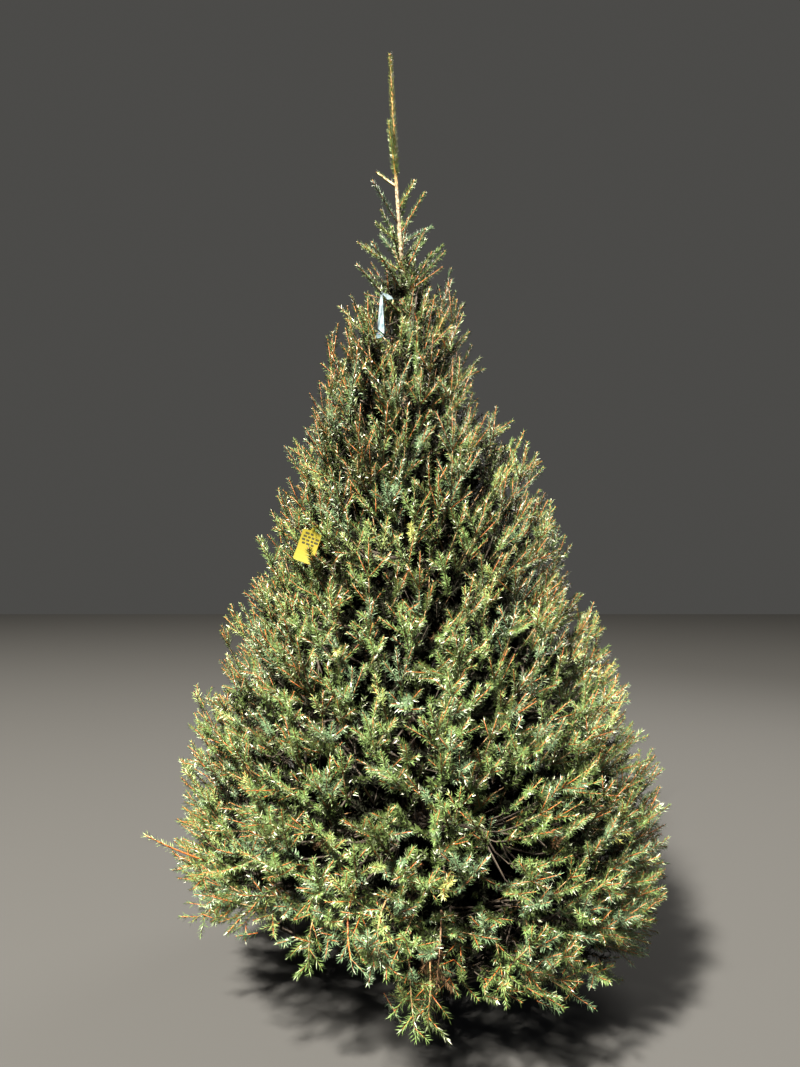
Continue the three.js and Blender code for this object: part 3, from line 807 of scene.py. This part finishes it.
print("growing the crown, tier by tier")
spaces = makeSpaces()
for tier in range(len(crown["boughCounts"] + crown["trunkMassCounts"])):
    tierSpaces = [space for space in spaces if space["tier"] == tier]
    kinds = [sum(lists, []) for lists in zip(*[growMass(space) for space in tierSpaces])]
    if tier == 0:
        kinds = [have + more for have, more in zip(kinds, [*trailingTwigs(), []])]
    pieces = [twigMesh(f"twigs_tier_{tier + 1}", kinds[0]), needleMesh(f"needles_tier_{tier + 1}", kinds[1]),
              needleMesh(f"shaded_needles_tier_{tier + 1}", kinds[2])]
    for piece, slot in zip(pieces, ("bough_bark", "needles", "needles")):
        dress(piece, slot, *[f"foliage_{space['name']}" for space in tierSpaces])
    print(f"tier {tier + 1}: {[len(piece.data.polygons) for piece in pieces]} triangles")


def deadTwigs():
    # Bare brown twigs hanging in the dark under the lowest boughs
    count = skirt["deadTwigs"]
    paths = [limbPath(space) for space in spaces if space["tier"] == 0]
    roots = np.array([spotOn(paths[at % len(paths)], uniform(3, len(paths[0]) * 0.55))
                      for at in range(count)])
    bearing = bearingOf(roots) + bell(0.8, count)
    away = headingTo(bearing, np.radians(uniform(-70, 5, count)))
    reach = uniform(*skirt["deadLength"], count)[:, None]
    ends = roots + away * reach
    ends[:, 2] = np.maximum(ends[:, 2], 0.02)
    points = bowed(roots, roots + away * reach * 0.5 + [0, 0, 0.03], ends, 5)
    parts = [tubes(points, np.linspace(1, 0.4, 5) * uniform(0.0014, 0.0026, (count, 1)), 4, "dead")]
    for at in (2, 3):
        start = points[:, at]
        turned = headingTo(bearing + randomRow.choice([-1, 1], count) * 0.7,
                           np.radians(uniform(-60, 0, count)))
        end = start + turned * reach * 0.35
        end[:, 2] = np.maximum(end[:, 2], 0.015)
        side = bowed(start, (start + end) / 2 + [0, 0, 0.008], end, 4)
        parts.append(tubes(side, np.linspace(1, 0.4, 4) * 0.0012, 3, "dead"))
    return parts


dress(twigMesh("dead_twigs", deadTwigs()), "bough_bark")


# Bark of the trunk and boughs

def barkMaterial(name, stops, flake, bumpDepth):
    # Spruce bark: thin scales, darker in the cracks between them, partly the bark's own colour and partly
    # painted shade. flake is a scale's width, metres
    material, shader = newMaterial(name, 0.85)
    place = addNode(material, "TexCoord")
    stretch = addNode(material, "Mapping", {"Vector": (place, "Object")}, {"Scale": (1, 1, 0.55)})
    wobble = addNode(material, "TexNoise", {"Vector": (stretch, "Vector")},
                     {"Scale": 0.6 / flake, "Detail": 4})
    scales = addNode(material, "TexVoronoi", {"Vector": (stretch, "Vector")}, {"Scale": 1 / flake},
                     feature="DISTANCE_TO_EDGE")
    # the cracks between scales darkened: partly the bark's own colour, partly painted shade
    cracks = addNode(material, "MapRange", {"Value": (scales, "Distance")},
                     {"From Max": 0.28, "To Min": 0.3, "To Max": 1.0})
    height = addNode(material, "SeparateXYZ", {"Vector": (place, "Object")})
    upTrunk = addNode(material, "MapRange", {"Value": (height, "Z")}, {"From Max": trunkShape["height"]})
    colours = addRamp(material, upTrunk, "Result", stops)
    patches = addNode(material, "MapRange", {"Value": (wobble, "Fac")},
                      {"From Min": 0.3, "From Max": 0.7, "To Min": 0.7, "To Max": 1.15})
    shade = addNode(material, "Math", {0: (cracks, "Result"), 1: (patches, "Result")}, operation="MULTIPLY")
    tint = addNode(material, "VectorMath", {0: (colours, "Color"), "Scale": (shade, "Value")},
                   operation="SCALE")
    feedShader(material, shader, tint, "Vector", shade, "Value", 0.7, bumpDepth)
    return material


trunkBark = barkMaterial("scalyTrunkBark",
                         [(0, "#5b4a3c"), (0.45, "#6a5643"), (0.72, "#7d694f"), (0.76, "#96866e"),
                          (0.845, "#96866e"), (0.862, "#a07c44"), (1, "#94703a")], 0.009, 0.002)
# The boughs' bark is near-black and darker towards the bottom: partly its own dark bark, partly painted shade
# inside the crown
boughBarkWithPaintedShade = barkMaterial("boughBarkWithPaintedShade", [(0, "#2b231d"), (0.6, "#362c25"), (1, "#44382e")], 0.007, 0.001)


def startFresh():
    if bpy.context.object and bpy.context.object.mode != "OBJECT":
        bpy.ops.object.mode_set(mode="OBJECT")
    bpy.ops.object.select_all(action="DESELECT")


def editAll():
    bpy.ops.object.mode_set(mode="EDIT")
    bpy.ops.mesh.select_all(action="SELECT")


def pickVertices(piece, isPicked):
    # Selects vertices by their place, in edit mode
    bpy.ops.object.mode_set(mode="OBJECT")
    vertices = piece.data.vertices
    for vertex in vertices:
        vertex.select = bool(isPicked(vertex.co))
    for parts in (piece.data.edges, piece.data.polygons):
        for part in parts:
            part.select = all(vertices[v].select for v in part.vertices)
    bpy.ops.object.mode_set(mode="EDIT")


def applyModifier(piece, kind, **settings):
    modifier = piece.modifiers.new(kind.title(), kind)
    for name, value in settings.items():
        setattr(modifier, name, value)
    bpy.context.view_layer.objects.active = piece
    bpy.ops.object.modifier_apply(modifier=modifier.name)


def roughen(piece, kind, size, strength, middle, group=""):
    # Pushes the surface in and out by a texture, then shades it smooth
    texture = bpy.data.textures.new("relief" + kind.title(), kind)
    texture.noise_scale = size
    applyModifier(piece, "DISPLACE", texture=texture, texture_coords="LOCAL", strength=strength,
                  mid_level=middle, vertex_group=group)
    bpy.ops.object.shade_smooth()


def joinAll(pieces, name):
    # Joins the pieces into the first
    for piece in pieces:
        piece.select_set(True)
    bpy.context.view_layer.objects.active = pieces[0]
    bpy.ops.object.join()
    pieces[0].name = name
    return pieces[0]


def makeTrunk():
    # A ring drawn up the stem, the flare's lobes pulled out, then smoothed and roughened
    startFresh()
    last, sides = trunkShape["rings"] - 1, trunkShape["sides"]
    heights = [trunkShape["height"] * (at / last) ** 1.4 for at in range(last + 1)]
    radii = [float(along(trunkShape["radii"], h)
                   * (1 + trunkShape["flareSpread"] * math.exp(-h / trunkShape["flareHeight"])))
             for h in heights]
    bpy.ops.mesh.primitive_circle_add(vertices=sides, radius=radii[0], fill_type="NGON",
                                      rotation=(0, 0, -trunkShape["turn"]))
    piece = bpy.context.object
    piece.name = "trunk_bark"
    bpy.ops.object.transform_apply(location=False)
    editAll()
    for low, high, wasRadius, radius in zip(heights, heights[1:], radii, radii[1:]):
        shift = axisAt(high) - axisAt(low)
        bpy.ops.mesh.extrude_region_move(TRANSFORM_OT_translate={"value": tuple(shift)})
        factor = radius / wasRadius
        bpy.ops.transform.resize(value=(factor, factor, 1), center_override=tuple(axisAt(high)))
    for height in heights[:trunkShape["flareRings"]]:
        lobe = 1 + trunkShape["lobeDepth"] * math.exp(-height / trunkShape["flareHeight"])
        pickVertices(piece, lambda co: abs(co.z - height) < 1e-4 and round(
            (math.atan2(co.y, co.x) + trunkShape["turn"]) / (2 * math.pi / sides)) % 2 == 0)
        bpy.ops.transform.resize(value=(lobe, lobe, 1), center_override=tuple(axisAt(height)))
    bpy.ops.mesh.select_all(action="SELECT")
    bpy.ops.mesh.normals_make_consistent(inside=False)
    bpy.ops.object.mode_set(mode="OBJECT")
    applyModifier(piece, "SUBSURF", levels=2, render_levels=2)
    group = piece.vertex_groups.new(name="barkDepth")
    for vertex in piece.data.vertices:
        weight = min(1.0, float(along(trunkShape["radii"], vertex.co.z)) / 0.04) if vertex.co.z > 0.004 else 0
        group.add([vertex.index], weight ** 1.5, "REPLACE")
    roughen(piece, "VORONOI", 0.022, 0.006, 0.4, group.name)
    piece.data.materials.append(trunkBark)
    return piece


def makeBough(space):
    # A curve from the trunk's axis through the mass, as thick as the limb at each point
    startFresh()
    path = limbPath(space, 12)
    bpy.ops.curve.primitive_nurbs_path_add()
    curve = bpy.context.object.data
    spline = curve.splines[0]
    spline.points.add(len(path) - len(spline.points))
    for point, spot, radius in zip(spline.points, path, limbRadii(space, len(path))):
        point.co = (*spot, 1)
        point.radius = radius
    spline.use_endpoint_u = True
    spline.order_u = 3
    curve.resolution_u = 4
    curve.bevel_depth = 1.0
    curve.bevel_resolution = 2
    curve.use_fill_caps = True
    bpy.context.object.name = f"bough_bark_{space['name']}"
    bpy.ops.object.convert(target="MESH")
    piece = bpy.context.object
    editAll()
    bpy.ops.mesh.remove_doubles(threshold=0.00005)
    bpy.ops.mesh.normals_make_consistent(inside=False)
    bpy.ops.object.mode_set(mode="OBJECT")
    roughen(piece, "CLOUDS", 0.02, 0.003, 0.5)
    piece.data.materials.append(boughBarkWithPaintedShade)
    return piece


print("trunk and boughs")
dress(makeTrunk(), "trunk_bark", "trunk")
for space in spaces:
    node = "bough_" if space["onBough"] else "foliage_"
    dress(makeBough(space), "bough_bark", node + space["name"])


# The top: the leader, its side shoots and the older shoots below, each measured by itself

topShoots = [  # name, height on the trunk, bearing, rise, length, radius, look, fill and lean of needles
    ("leader_side_shoot", 2.928, 226, 79, 0.205, 0.0038, "gold", 1.3, 0.85),
    ("leader_stub", 2.900, 160, 39, 0.1, 0.0074, "pale", 0.35, 0.8),
    ("shoot_left", 2.752, 196, 56, 0.184, 0.0034, "red", 0.8),
    ("shoot_right", 2.718, 340, 55, 0.17, 0.003, "shoot", 0.85),
    ("ribbon_shoot", 2.405, 208, 40, 0.25, 0.0042, "red", 0.85),
    ("", 2.665, 172, 63, 0.163, 0.003, "red", 0.8),
    ("", 2.680, 195, 36, 0.115, 0.0024, "shoot", 1.0),
    ("", 2.575, 196, 28, 0.19, 0.003, "shoot", 0.85),
    ("", 2.813, 328, 52, 0.112, 0.0022, "shoot", 1.1),
    ("", 2.685, 8, 28, 0.135, 0.0026, "shoot", 1.1),
    ("", 2.615, 350, 48, 0.12, 0.0028, "red", 1.0),
    ("", 2.640, 285, 50, 0.13, 0.0028, "shoot", 0.85),
    ("", 2.690, 90, 52, 0.17, 0.003, "red", 0.9),
    ("", 2.780, 70, 56, 0.13, 0.0028, "shoot", 0.85),
    ("", 2.620, 130, 45, 0.18, 0.003, "red", 0.9),
    ("", 2.600, 45, 45, 0.18, 0.003, "shoot", 0.9),
    ("", 2.570, 250, 50, 0.17, 0.003, "red", 0.9),
    ("", 2.550, 315, 52, 0.19, 0.003, "shoot", 0.9),
    ("", 2.530, 5, 44, 0.21, 0.003, "red", 0.9),
    ("", 2.540, 170, 46, 0.2, 0.003, "shoot", 0.9),
    ("", 2.500, 225, 42, 0.21, 0.003, "shoot", 0.9),
    ("", 2.480, 335, 40, 0.22, 0.003, "red", 0.9),
]


def topShoot(height, bearing, rise, length, radius, look, fill, lean=1.0):
    heading = headingTo(np.radians(bearing), np.radians(rise))
    shoots = shootSet(axisAt(height), heading, unit(np.cross([0, 0, 1.0], heading)), length,
                      pickLooks({"mid": 0.6, "blue": 0.2, "light": 0.2}, 1), fill=fill, bare=0.1,
                      needle=0.9, lift=0.0 if rise > 70 else 0.03, lean=lean)
    ahead = unit(shoots["heading"] * length + 2 * shoots["bend"])
    wood = [shootTubes(shoots, radius, look, 6), budsAt(shootTips(shoots), ahead, 0.0032, 0.01)]
    return wood, [needlesOn(shoots, 1100, 0.0225, 0.003)]


def stemShoots(low, high, count, shares, **habits):
    # Needled lengths one above the other on the trunk itself
    spots = axisAt(np.linspace(low, high, count + 1))
    gone = spots[1:] - spots[:-1]
    heading = unit(gone)
    return shootSet(spots[:-1], heading, unit(np.cross([0, 1.0, 0], heading)), norm(gone, axis=1),
                    pickLooks(shares, count), lift=0, **habits)


def stemBuds(heights, sunk, rise, radius, length, look):
    # Buds or pegs round the trunk's own surface
    bearing = uniform(0, 2 * math.pi, len(heights))
    out = headingTo(bearing) * (along(trunkShape["radii"], heights) * sunk)[:, None]
    return budsAt(axisAt(heights) + out, headingTo(bearing, rise), radius, length, look)


print("top shoots")
topWoods, topNeedles = [], []
for name, *rest in topShoots:
    wood, needle = topShoot(*rest)
    if name:
        for piece in (twigMesh(f"{name}_twig", wood), needleMesh(f"{name}_needles", needle)):
            dress(piece, "shoot_needles", name)
    else:
        topWoods += wood
        topNeedles += needle

# The leader's own needles, pressed to the stem, then last year's length: cream bark, few needles left
leaderShoots = stemShoots(2.93, 3.405, 8, {"light": 0.5, "young": 0.5}, fill=1.7, lean=0.82,
                          needle=np.linspace(1.2, 0.85, 8))
topNeedles.append(needlesOn(leaderShoots, 900, 0.02, 0.0034))
bareShoots = stemShoots(2.52, 2.93, 6, {"mid": 0.6, "blue": 0.4}, fill=0.5, needle=0.8, lean=1.1)
bareShoots["length"] = np.diff(np.linspace(2.52, 2.93, 7))
topNeedles.append(needlesOn(bareShoots, 900, 0.02, 0.0024))
pegHeights = uniform(2.54, 2.92, 90)  # dark leaf bases where needles have dropped
topWoods.append(stemBuds(pegHeights, 1, 0.6, 0.0019, 0.0035, "grey"))
budHeights = np.sort(uniform(2.95, 3.39, 22))
topWoods.append(stemBuds(budHeights, 0.8, 0.9, 0.0028, 0.008, "bud"))
crownBuds = headingTo(np.radians([0, 95, 190, 280]), np.radians([50, 45, 55, 48]))
topWoods.append(budsAt(axisAt(np.full(4, 3.4)), crownBuds, 0.0032, 0.009))
for piece in (twigMesh("top_twigs", topWoods), needleMesh("top_needles", topNeedles)):
    dress(piece, "shoot_needles")


# The yellow tag on its twig, and the pale ribbon tied to a shoot

tagShape = {
    "width": 0.064,
    "height": 0.102,
    "thickness": 0.0007,
    "cornerRadius": 0.006,
    "neckRoot": 0.0173,
    "neck": [(0.006, 0.012), (0.0135, 0.008)],  # height over the plate, width
    "centre": (-0.381, -0.449, 1.542),
    "tilt": 20,
    "turn": -8,
    "curl": (0.9, 1.6),  # across, along
    "ringAt": (-0.351, -0.449, 1.604),
    "twigHeading": (-0.42, -0.7, 0.58),
    "ringRadius": 0.0041,
    "ringThickness": 0.0009,
    "ringDepth": 0.009,
    "dashHeight": 0.0056,
    "rules": [(0.041, ((-0.021, -0.008), (-0.003, 0.006))),
              (0.03, ((-0.024, -0.014), (-0.009, -0.001), (0.004, 0.012), (0.017, 0.028))),
              (0.019, ((-0.026, -0.016), (-0.011, -0.002), (0.004, 0.012), (0.016, 0.028))),
              (0.008, ((-0.022, -0.013), (-0.008, 0.003), (0.008, 0.017)))],
    "overTag": ((-0.346, -0.462, 1.437), (-0.374, -0.478, 1.532)),  # the shoot across its corner
}

ribbonShape = {
    "width": 0.031,
    "pinchedWidth": 0.007,
    "tail": 0.168,
    "shortEnd": 0.042,
    "thickness": 0.0004,
    "shootHeight": 2.405,
    "shootBearing": 208,
    "shootRise": 40,
    "along": 0.122,
    "turn": -0.3,
    "wrapRadii": (0.0056, 0.0016),
    "overShoot": 0.0048,
    "lumpRadius": 0.0042,
}

film = {"blend": 0.15, "detail": 2}
tagVinyl = grainyMaterial("yellowTagVinyl", "#635d15", "#696217", 0.6, 0.03, creases=0.0004, sheen=0.25,
                          **film)
tagInk = grainyMaterial("tagInk", "#1c1b08", "#2a290c", 0.5, 0.01, creases=0.0001, **film)
# The pale ribbon's blue-grey mottle stands in for bluish shade on the white film: painted shade
ribbonFilm = grainyMaterial("paleRibbonFilmWithPaintedShade", "#384a56", "#687983", 0.4, 0.025, creases=0.001, **film)


def addFlat(width, height, x, z, y=0.0):
    # An upright plane facing -Y
    bpy.ops.mesh.primitive_plane_add(size=1, location=(x, y, z), rotation=(math.radians(90), 0, 0))
    piece = bpy.context.object
    piece.scale = (width, height, 1)
    bpy.ops.object.transform_apply()
    piece.data.materials.append(tagVinyl)
    piece.data.materials.append(tagInk)
    return piece


def makeTag():
    startFresh()
    half = tagShape["height"] / 2
    plate = addFlat(tagShape["width"], tagShape["height"], 0, 0)
    editAll()
    bpy.ops.mesh.bevel(affect="VERTICES", offset=tagShape["cornerRadius"], segments=4)
    pickVertices(plate, lambda co: co.z > half - 1e-5)
    bpy.ops.mesh.subdivide(number_cuts=2)
    pickVertices(plate, lambda co: co.z > half - 1e-5 and abs(co.x) < 0.012)
    wasHeight, wasWidth = 0.0, tagShape["neckRoot"]
    for height, width in tagShape["neck"]:
        bpy.ops.mesh.extrude_region_move(TRANSFORM_OT_translate={"value": (0, 0, height - wasHeight)})
        bpy.ops.transform.resize(value=(width / wasWidth, 1, 1), center_override=(0, 0, half + height))
        wasHeight, wasWidth = height, width
    bpy.ops.object.mode_set(mode="OBJECT")
    dashes = []
    for height, spans in tagShape["rules"]:
        for low, high in spans:
            dash = addFlat(high - low, tagShape["dashHeight"], (low + high) / 2, height, -0.0008)
            dash.data.polygons[0].material_index = 1
            dashes.append(dash)
    joinAll([plate] + dashes, "yellow_tag_sheet")
    bpy.ops.object.mode_set(mode="EDIT")
    levels = [((0, 0, level), (0, 0, 1)) for level in np.arange(-0.042, 0.05, 0.012)]
    for place, normal in levels + [((x, 0, 0), (1, 0, 0)) for x in np.arange(-0.024, 0.025, 0.008)]:
        bpy.ops.mesh.select_all(action="SELECT")
        bpy.ops.mesh.bisect(plane_co=place, plane_no=normal)
    bpy.ops.object.mode_set(mode="OBJECT")
    acrossCurl, downCurl = tagShape["curl"]
    for vertex in plate.data.vertices:
        vertex.co.y -= downCurl * vertex.co.z ** 2 + acrossCurl * vertex.co.x ** 2
    applyModifier(plate, "SOLIDIFY", thickness=tagShape["thickness"], offset=1)
    plate.rotation_euler = (0, math.radians(tagShape["tilt"]), math.radians(tagShape["turn"]))
    plate.location = tagShape["centre"]
    bpy.ops.object.transform_apply()
    turn = Vector(tagShape["twigHeading"]).to_track_quat("Z", "Y").to_euler()
    bpy.ops.mesh.primitive_cylinder_add(vertices=20, radius=tagShape["ringRadius"],
                                        depth=tagShape["ringDepth"], end_fill_type="NOTHING",
                                        location=tagShape["ringAt"], rotation=turn)
    ring = bpy.context.object
    bpy.ops.object.transform_apply()
    applyModifier(ring, "SOLIDIFY", thickness=tagShape["ringThickness"], offset=1)
    ring.data.materials.append(tagVinyl)
    return joinAll([plate, ring], "yellow_tag_sheet")


def shapedStrip(widthAt, centreAt, ripple):
    # A grid drawn out into a strip: its width, its middle line and a ripple by the share down it
    bpy.ops.mesh.primitive_grid_add(x_subdivisions=6, y_subdivisions=18, size=2)
    piece = bpy.context.object
    turn = ribbonShape["turn"]
    for vertex in piece.data.vertices:
        across, down = vertex.co.x, (1 - vertex.co.y) / 2
        wave = ripple * down * math.sin(2.4 * across + 7 * down)
        side = across * widthAt(down) / 2
        vertex.co = centreAt(down) + Vector((side * math.cos(turn) + wave * math.sin(-turn),
                                             side * math.sin(turn) - wave, 0))
    applyModifier(piece, "SOLIDIFY", thickness=ribbonShape["thickness"], offset=0)
    applyModifier(piece, "SUBSURF", levels=1, render_levels=1)
    return piece


def makeRibbon():
    startFresh()
    bearing, rise = math.radians(ribbonShape["shootBearing"]), math.radians(ribbonShape["shootRise"])
    heading = Vector((math.cos(bearing) * math.cos(rise), math.sin(bearing) * math.cos(rise), math.sin(rise)))
    knot = Vector(axisAt(ribbonShape["shootHeight"])) + heading * ribbonShape["along"]
    front = Vector((0, -1, 0))
    front = (front - heading * front.dot(heading)).normalized()
    top = knot + front * ribbonShape["overShoot"]
    wide, pinched = ribbonShape["width"], ribbonShape["pinchedWidth"]
    long, short = ribbonShape["tail"], ribbonShape["shortEnd"]
    pieces = [
        shapedStrip(lambda down: pinched + (wide - pinched) * down ** 0.85,
                    lambda down: top + Vector((-0.005 * down, 0, -long * down)), 0.005),
        shapedStrip(lambda down: pinched + (wide * 0.45 - pinched) * down,
                    lambda down: top + Vector((0.011 * down, 0.003 + 0.006 * down, -long * 1.02 * down)),
                    0.004),
        shapedStrip(lambda down: pinched + (wide * 0.75 - pinched) * min(1, down * 1.6),
                    lambda down: top + Vector((0.78, -0.12, -0.25)) * short * down
                    + Vector((0, 0, -0.37 * short)) * down ** 2, 0.002),
    ]
    bpy.ops.mesh.primitive_torus_add(major_radius=ribbonShape["wrapRadii"][0],
                                     minor_radius=ribbonShape["wrapRadii"][1], major_segments=20,
                                     minor_segments=8, location=knot,
                                     rotation=heading.to_track_quat("Z", "Y").to_euler())
    bpy.ops.object.transform_apply()
    pieces.append(bpy.context.object)
    bpy.ops.mesh.primitive_uv_sphere_add(segments=12, ring_count=8, radius=ribbonShape["lumpRadius"],
                                         location=top)
    lump = bpy.context.object
    lump.scale = (1.1, 0.7, 0.9)
    bpy.ops.object.transform_apply()
    pieces.append(lump)
    startFresh()
    ribbon = joinAll(pieces, "pale_ribbon_strip")
    ribbon.data.materials.clear()
    ribbon.data.materials.append(ribbonFilm)
    bpy.ops.object.shade_smooth()
    return ribbon


def makeTagTwig():
    # The twig that carries the tag, from the mass's stem, and the shoot across the tag's corner
    heading = np.array(tagShape["twigHeading"])
    heading = heading / norm(heading)
    ringAt = np.array(tagShape["ringAt"])
    knee = ringAt - heading * 0.055
    end = ringAt + heading * 0.026
    upwards = np.array([0, 0, 1.0])
    path = limbPath([space for space in spaces if space["name"] == "6_1"][0])
    start = nearest(path, knee - heading * 0.2)
    inner = bowed(start, knee - heading * norm(knee - start) * 0.5, knee, 6)
    points = np.concatenate([inner, [ringAt - heading * 0.01, ringAt + heading * 0.008, end]])
    woods = [tubes(points, np.linspace(0.0034, 0.0022, len(points)), 6, "older")]
    side = unit(np.cross(upwards, heading))
    shoots = [shootSet(knee - heading * 0.05, heading, side, 0.09, "mid", lift=0),
              shootSet(end, heading, side, 0.035, "mid", lift=0.2)]
    for turn, rise in ((-0.9, 0.25), (0.8, 0.3)):
        towards = unit(turnAbout(heading[None], upwards[None], np.array([turn])) + [0, 0, rise])
        shoots.append(shootSet(knee, towards, unit(np.cross(upwards, towards)), 0.1, "mid"))
    low, high = np.array(tagShape["overTag"])
    overTag = unit(high - low)
    shoots.append(shootSet(low, overTag, unit(np.cross([0, 1.0, 0], overTag)), norm(high - low),
                           "deep", fill=2.2, needle=1.1, wide=1.5, lift=0, lean=1.1))
    anchor = nearest(path, low + [0.1, 0.25, -0.1])
    woods.append(tubes(bowed(anchor, (anchor + low) / 2 + [0, 0, -0.04], low, 5), 0.0028, 4, "grey"))
    shoots = mergeShoots(shoots)
    woods.append(shootTubes(takeShoots(shoots, slice(1, None)), twigRule["shootRadius"], "shoot"))
    woods.append(budsAt(shootTips(shoots)[1:], shoots["heading"][1:], 0.0026, 0.008))
    return woods, [needlesOn(shoots, twigRule["needlesPerMetre"], twigRule["needleLength"], 0.0028)]


print("tag and ribbon")
tag = makeTag()
ribbon = makeRibbon()
twigWoods, twigNeedles = makeTagTwig()
dress(tag, "tag_plastic", "yellow_tag")
dress(ribbon, "ribbon_plastic", "white_ribbon")
dress(twigMesh("tag_twig", twigWoods), "bough_bark", "foliage_6_1")
dress(needleMesh("tag_twig_needles", twigNeedles), "needles", "foliage_6_1")


# The scene round it

print("camera, lights and floor")
startFresh()
bpy.ops.mesh.primitive_plane_add(size=40)
floor = bpy.context.object
floor.name = "studio_floor"
floor.data.materials.append(plainMaterial("paleFloor", "#313234", 0.9, 0.1))

bpy.ops.object.camera_add(location=(-0.089, -3.08, 1.5), rotation=(math.radians(91.82), 0, 0))
camera = bpy.context.object
camera.data.lens = 28.07
camera.data.sensor_width = 36
camera.data.clip_start = 0.05
bpy.context.scene.camera = camera

lamps = [  # name, place, size, watts, colour
    ("keyLight", (-6.6, -9.8, 16.6), 1.8, 46000, "#fff4df"),
    ("fillLight", (4.5, -4.0, 2.2), 3.5, 40, "#f0f4ff"),
    ("backLight", (3.5, 4.5, 5.2), 3.0, 700, "#fff6e6"),
]
for name, place, size, watts, colour in lamps:
    bpy.ops.object.light_add(type="AREA", location=place)
    lamp = bpy.context.object
    lamp.name = name
    lamp.data.size = size
    lamp.data.energy = watts
    lamp.data.color = toLinear(colour)[:3]
    aim = Vector((0, 0, 1.5)) - Vector(place)
    lamp.rotation_euler = aim.to_track_quat("-Z", "Y").to_euler()

world = bpy.data.worlds.new("studioRoom")
world.use_nodes = True
background = world.node_tree.nodes["Background"]
background.inputs["Color"].default_value = toLinear("#e6e4de")
background.inputs["Strength"].default_value = 0.09
bpy.context.scene.world = world
bpy.context.scene.view_settings.view_transform = "Standard"  # keeps the sunlit greens and yellow strong
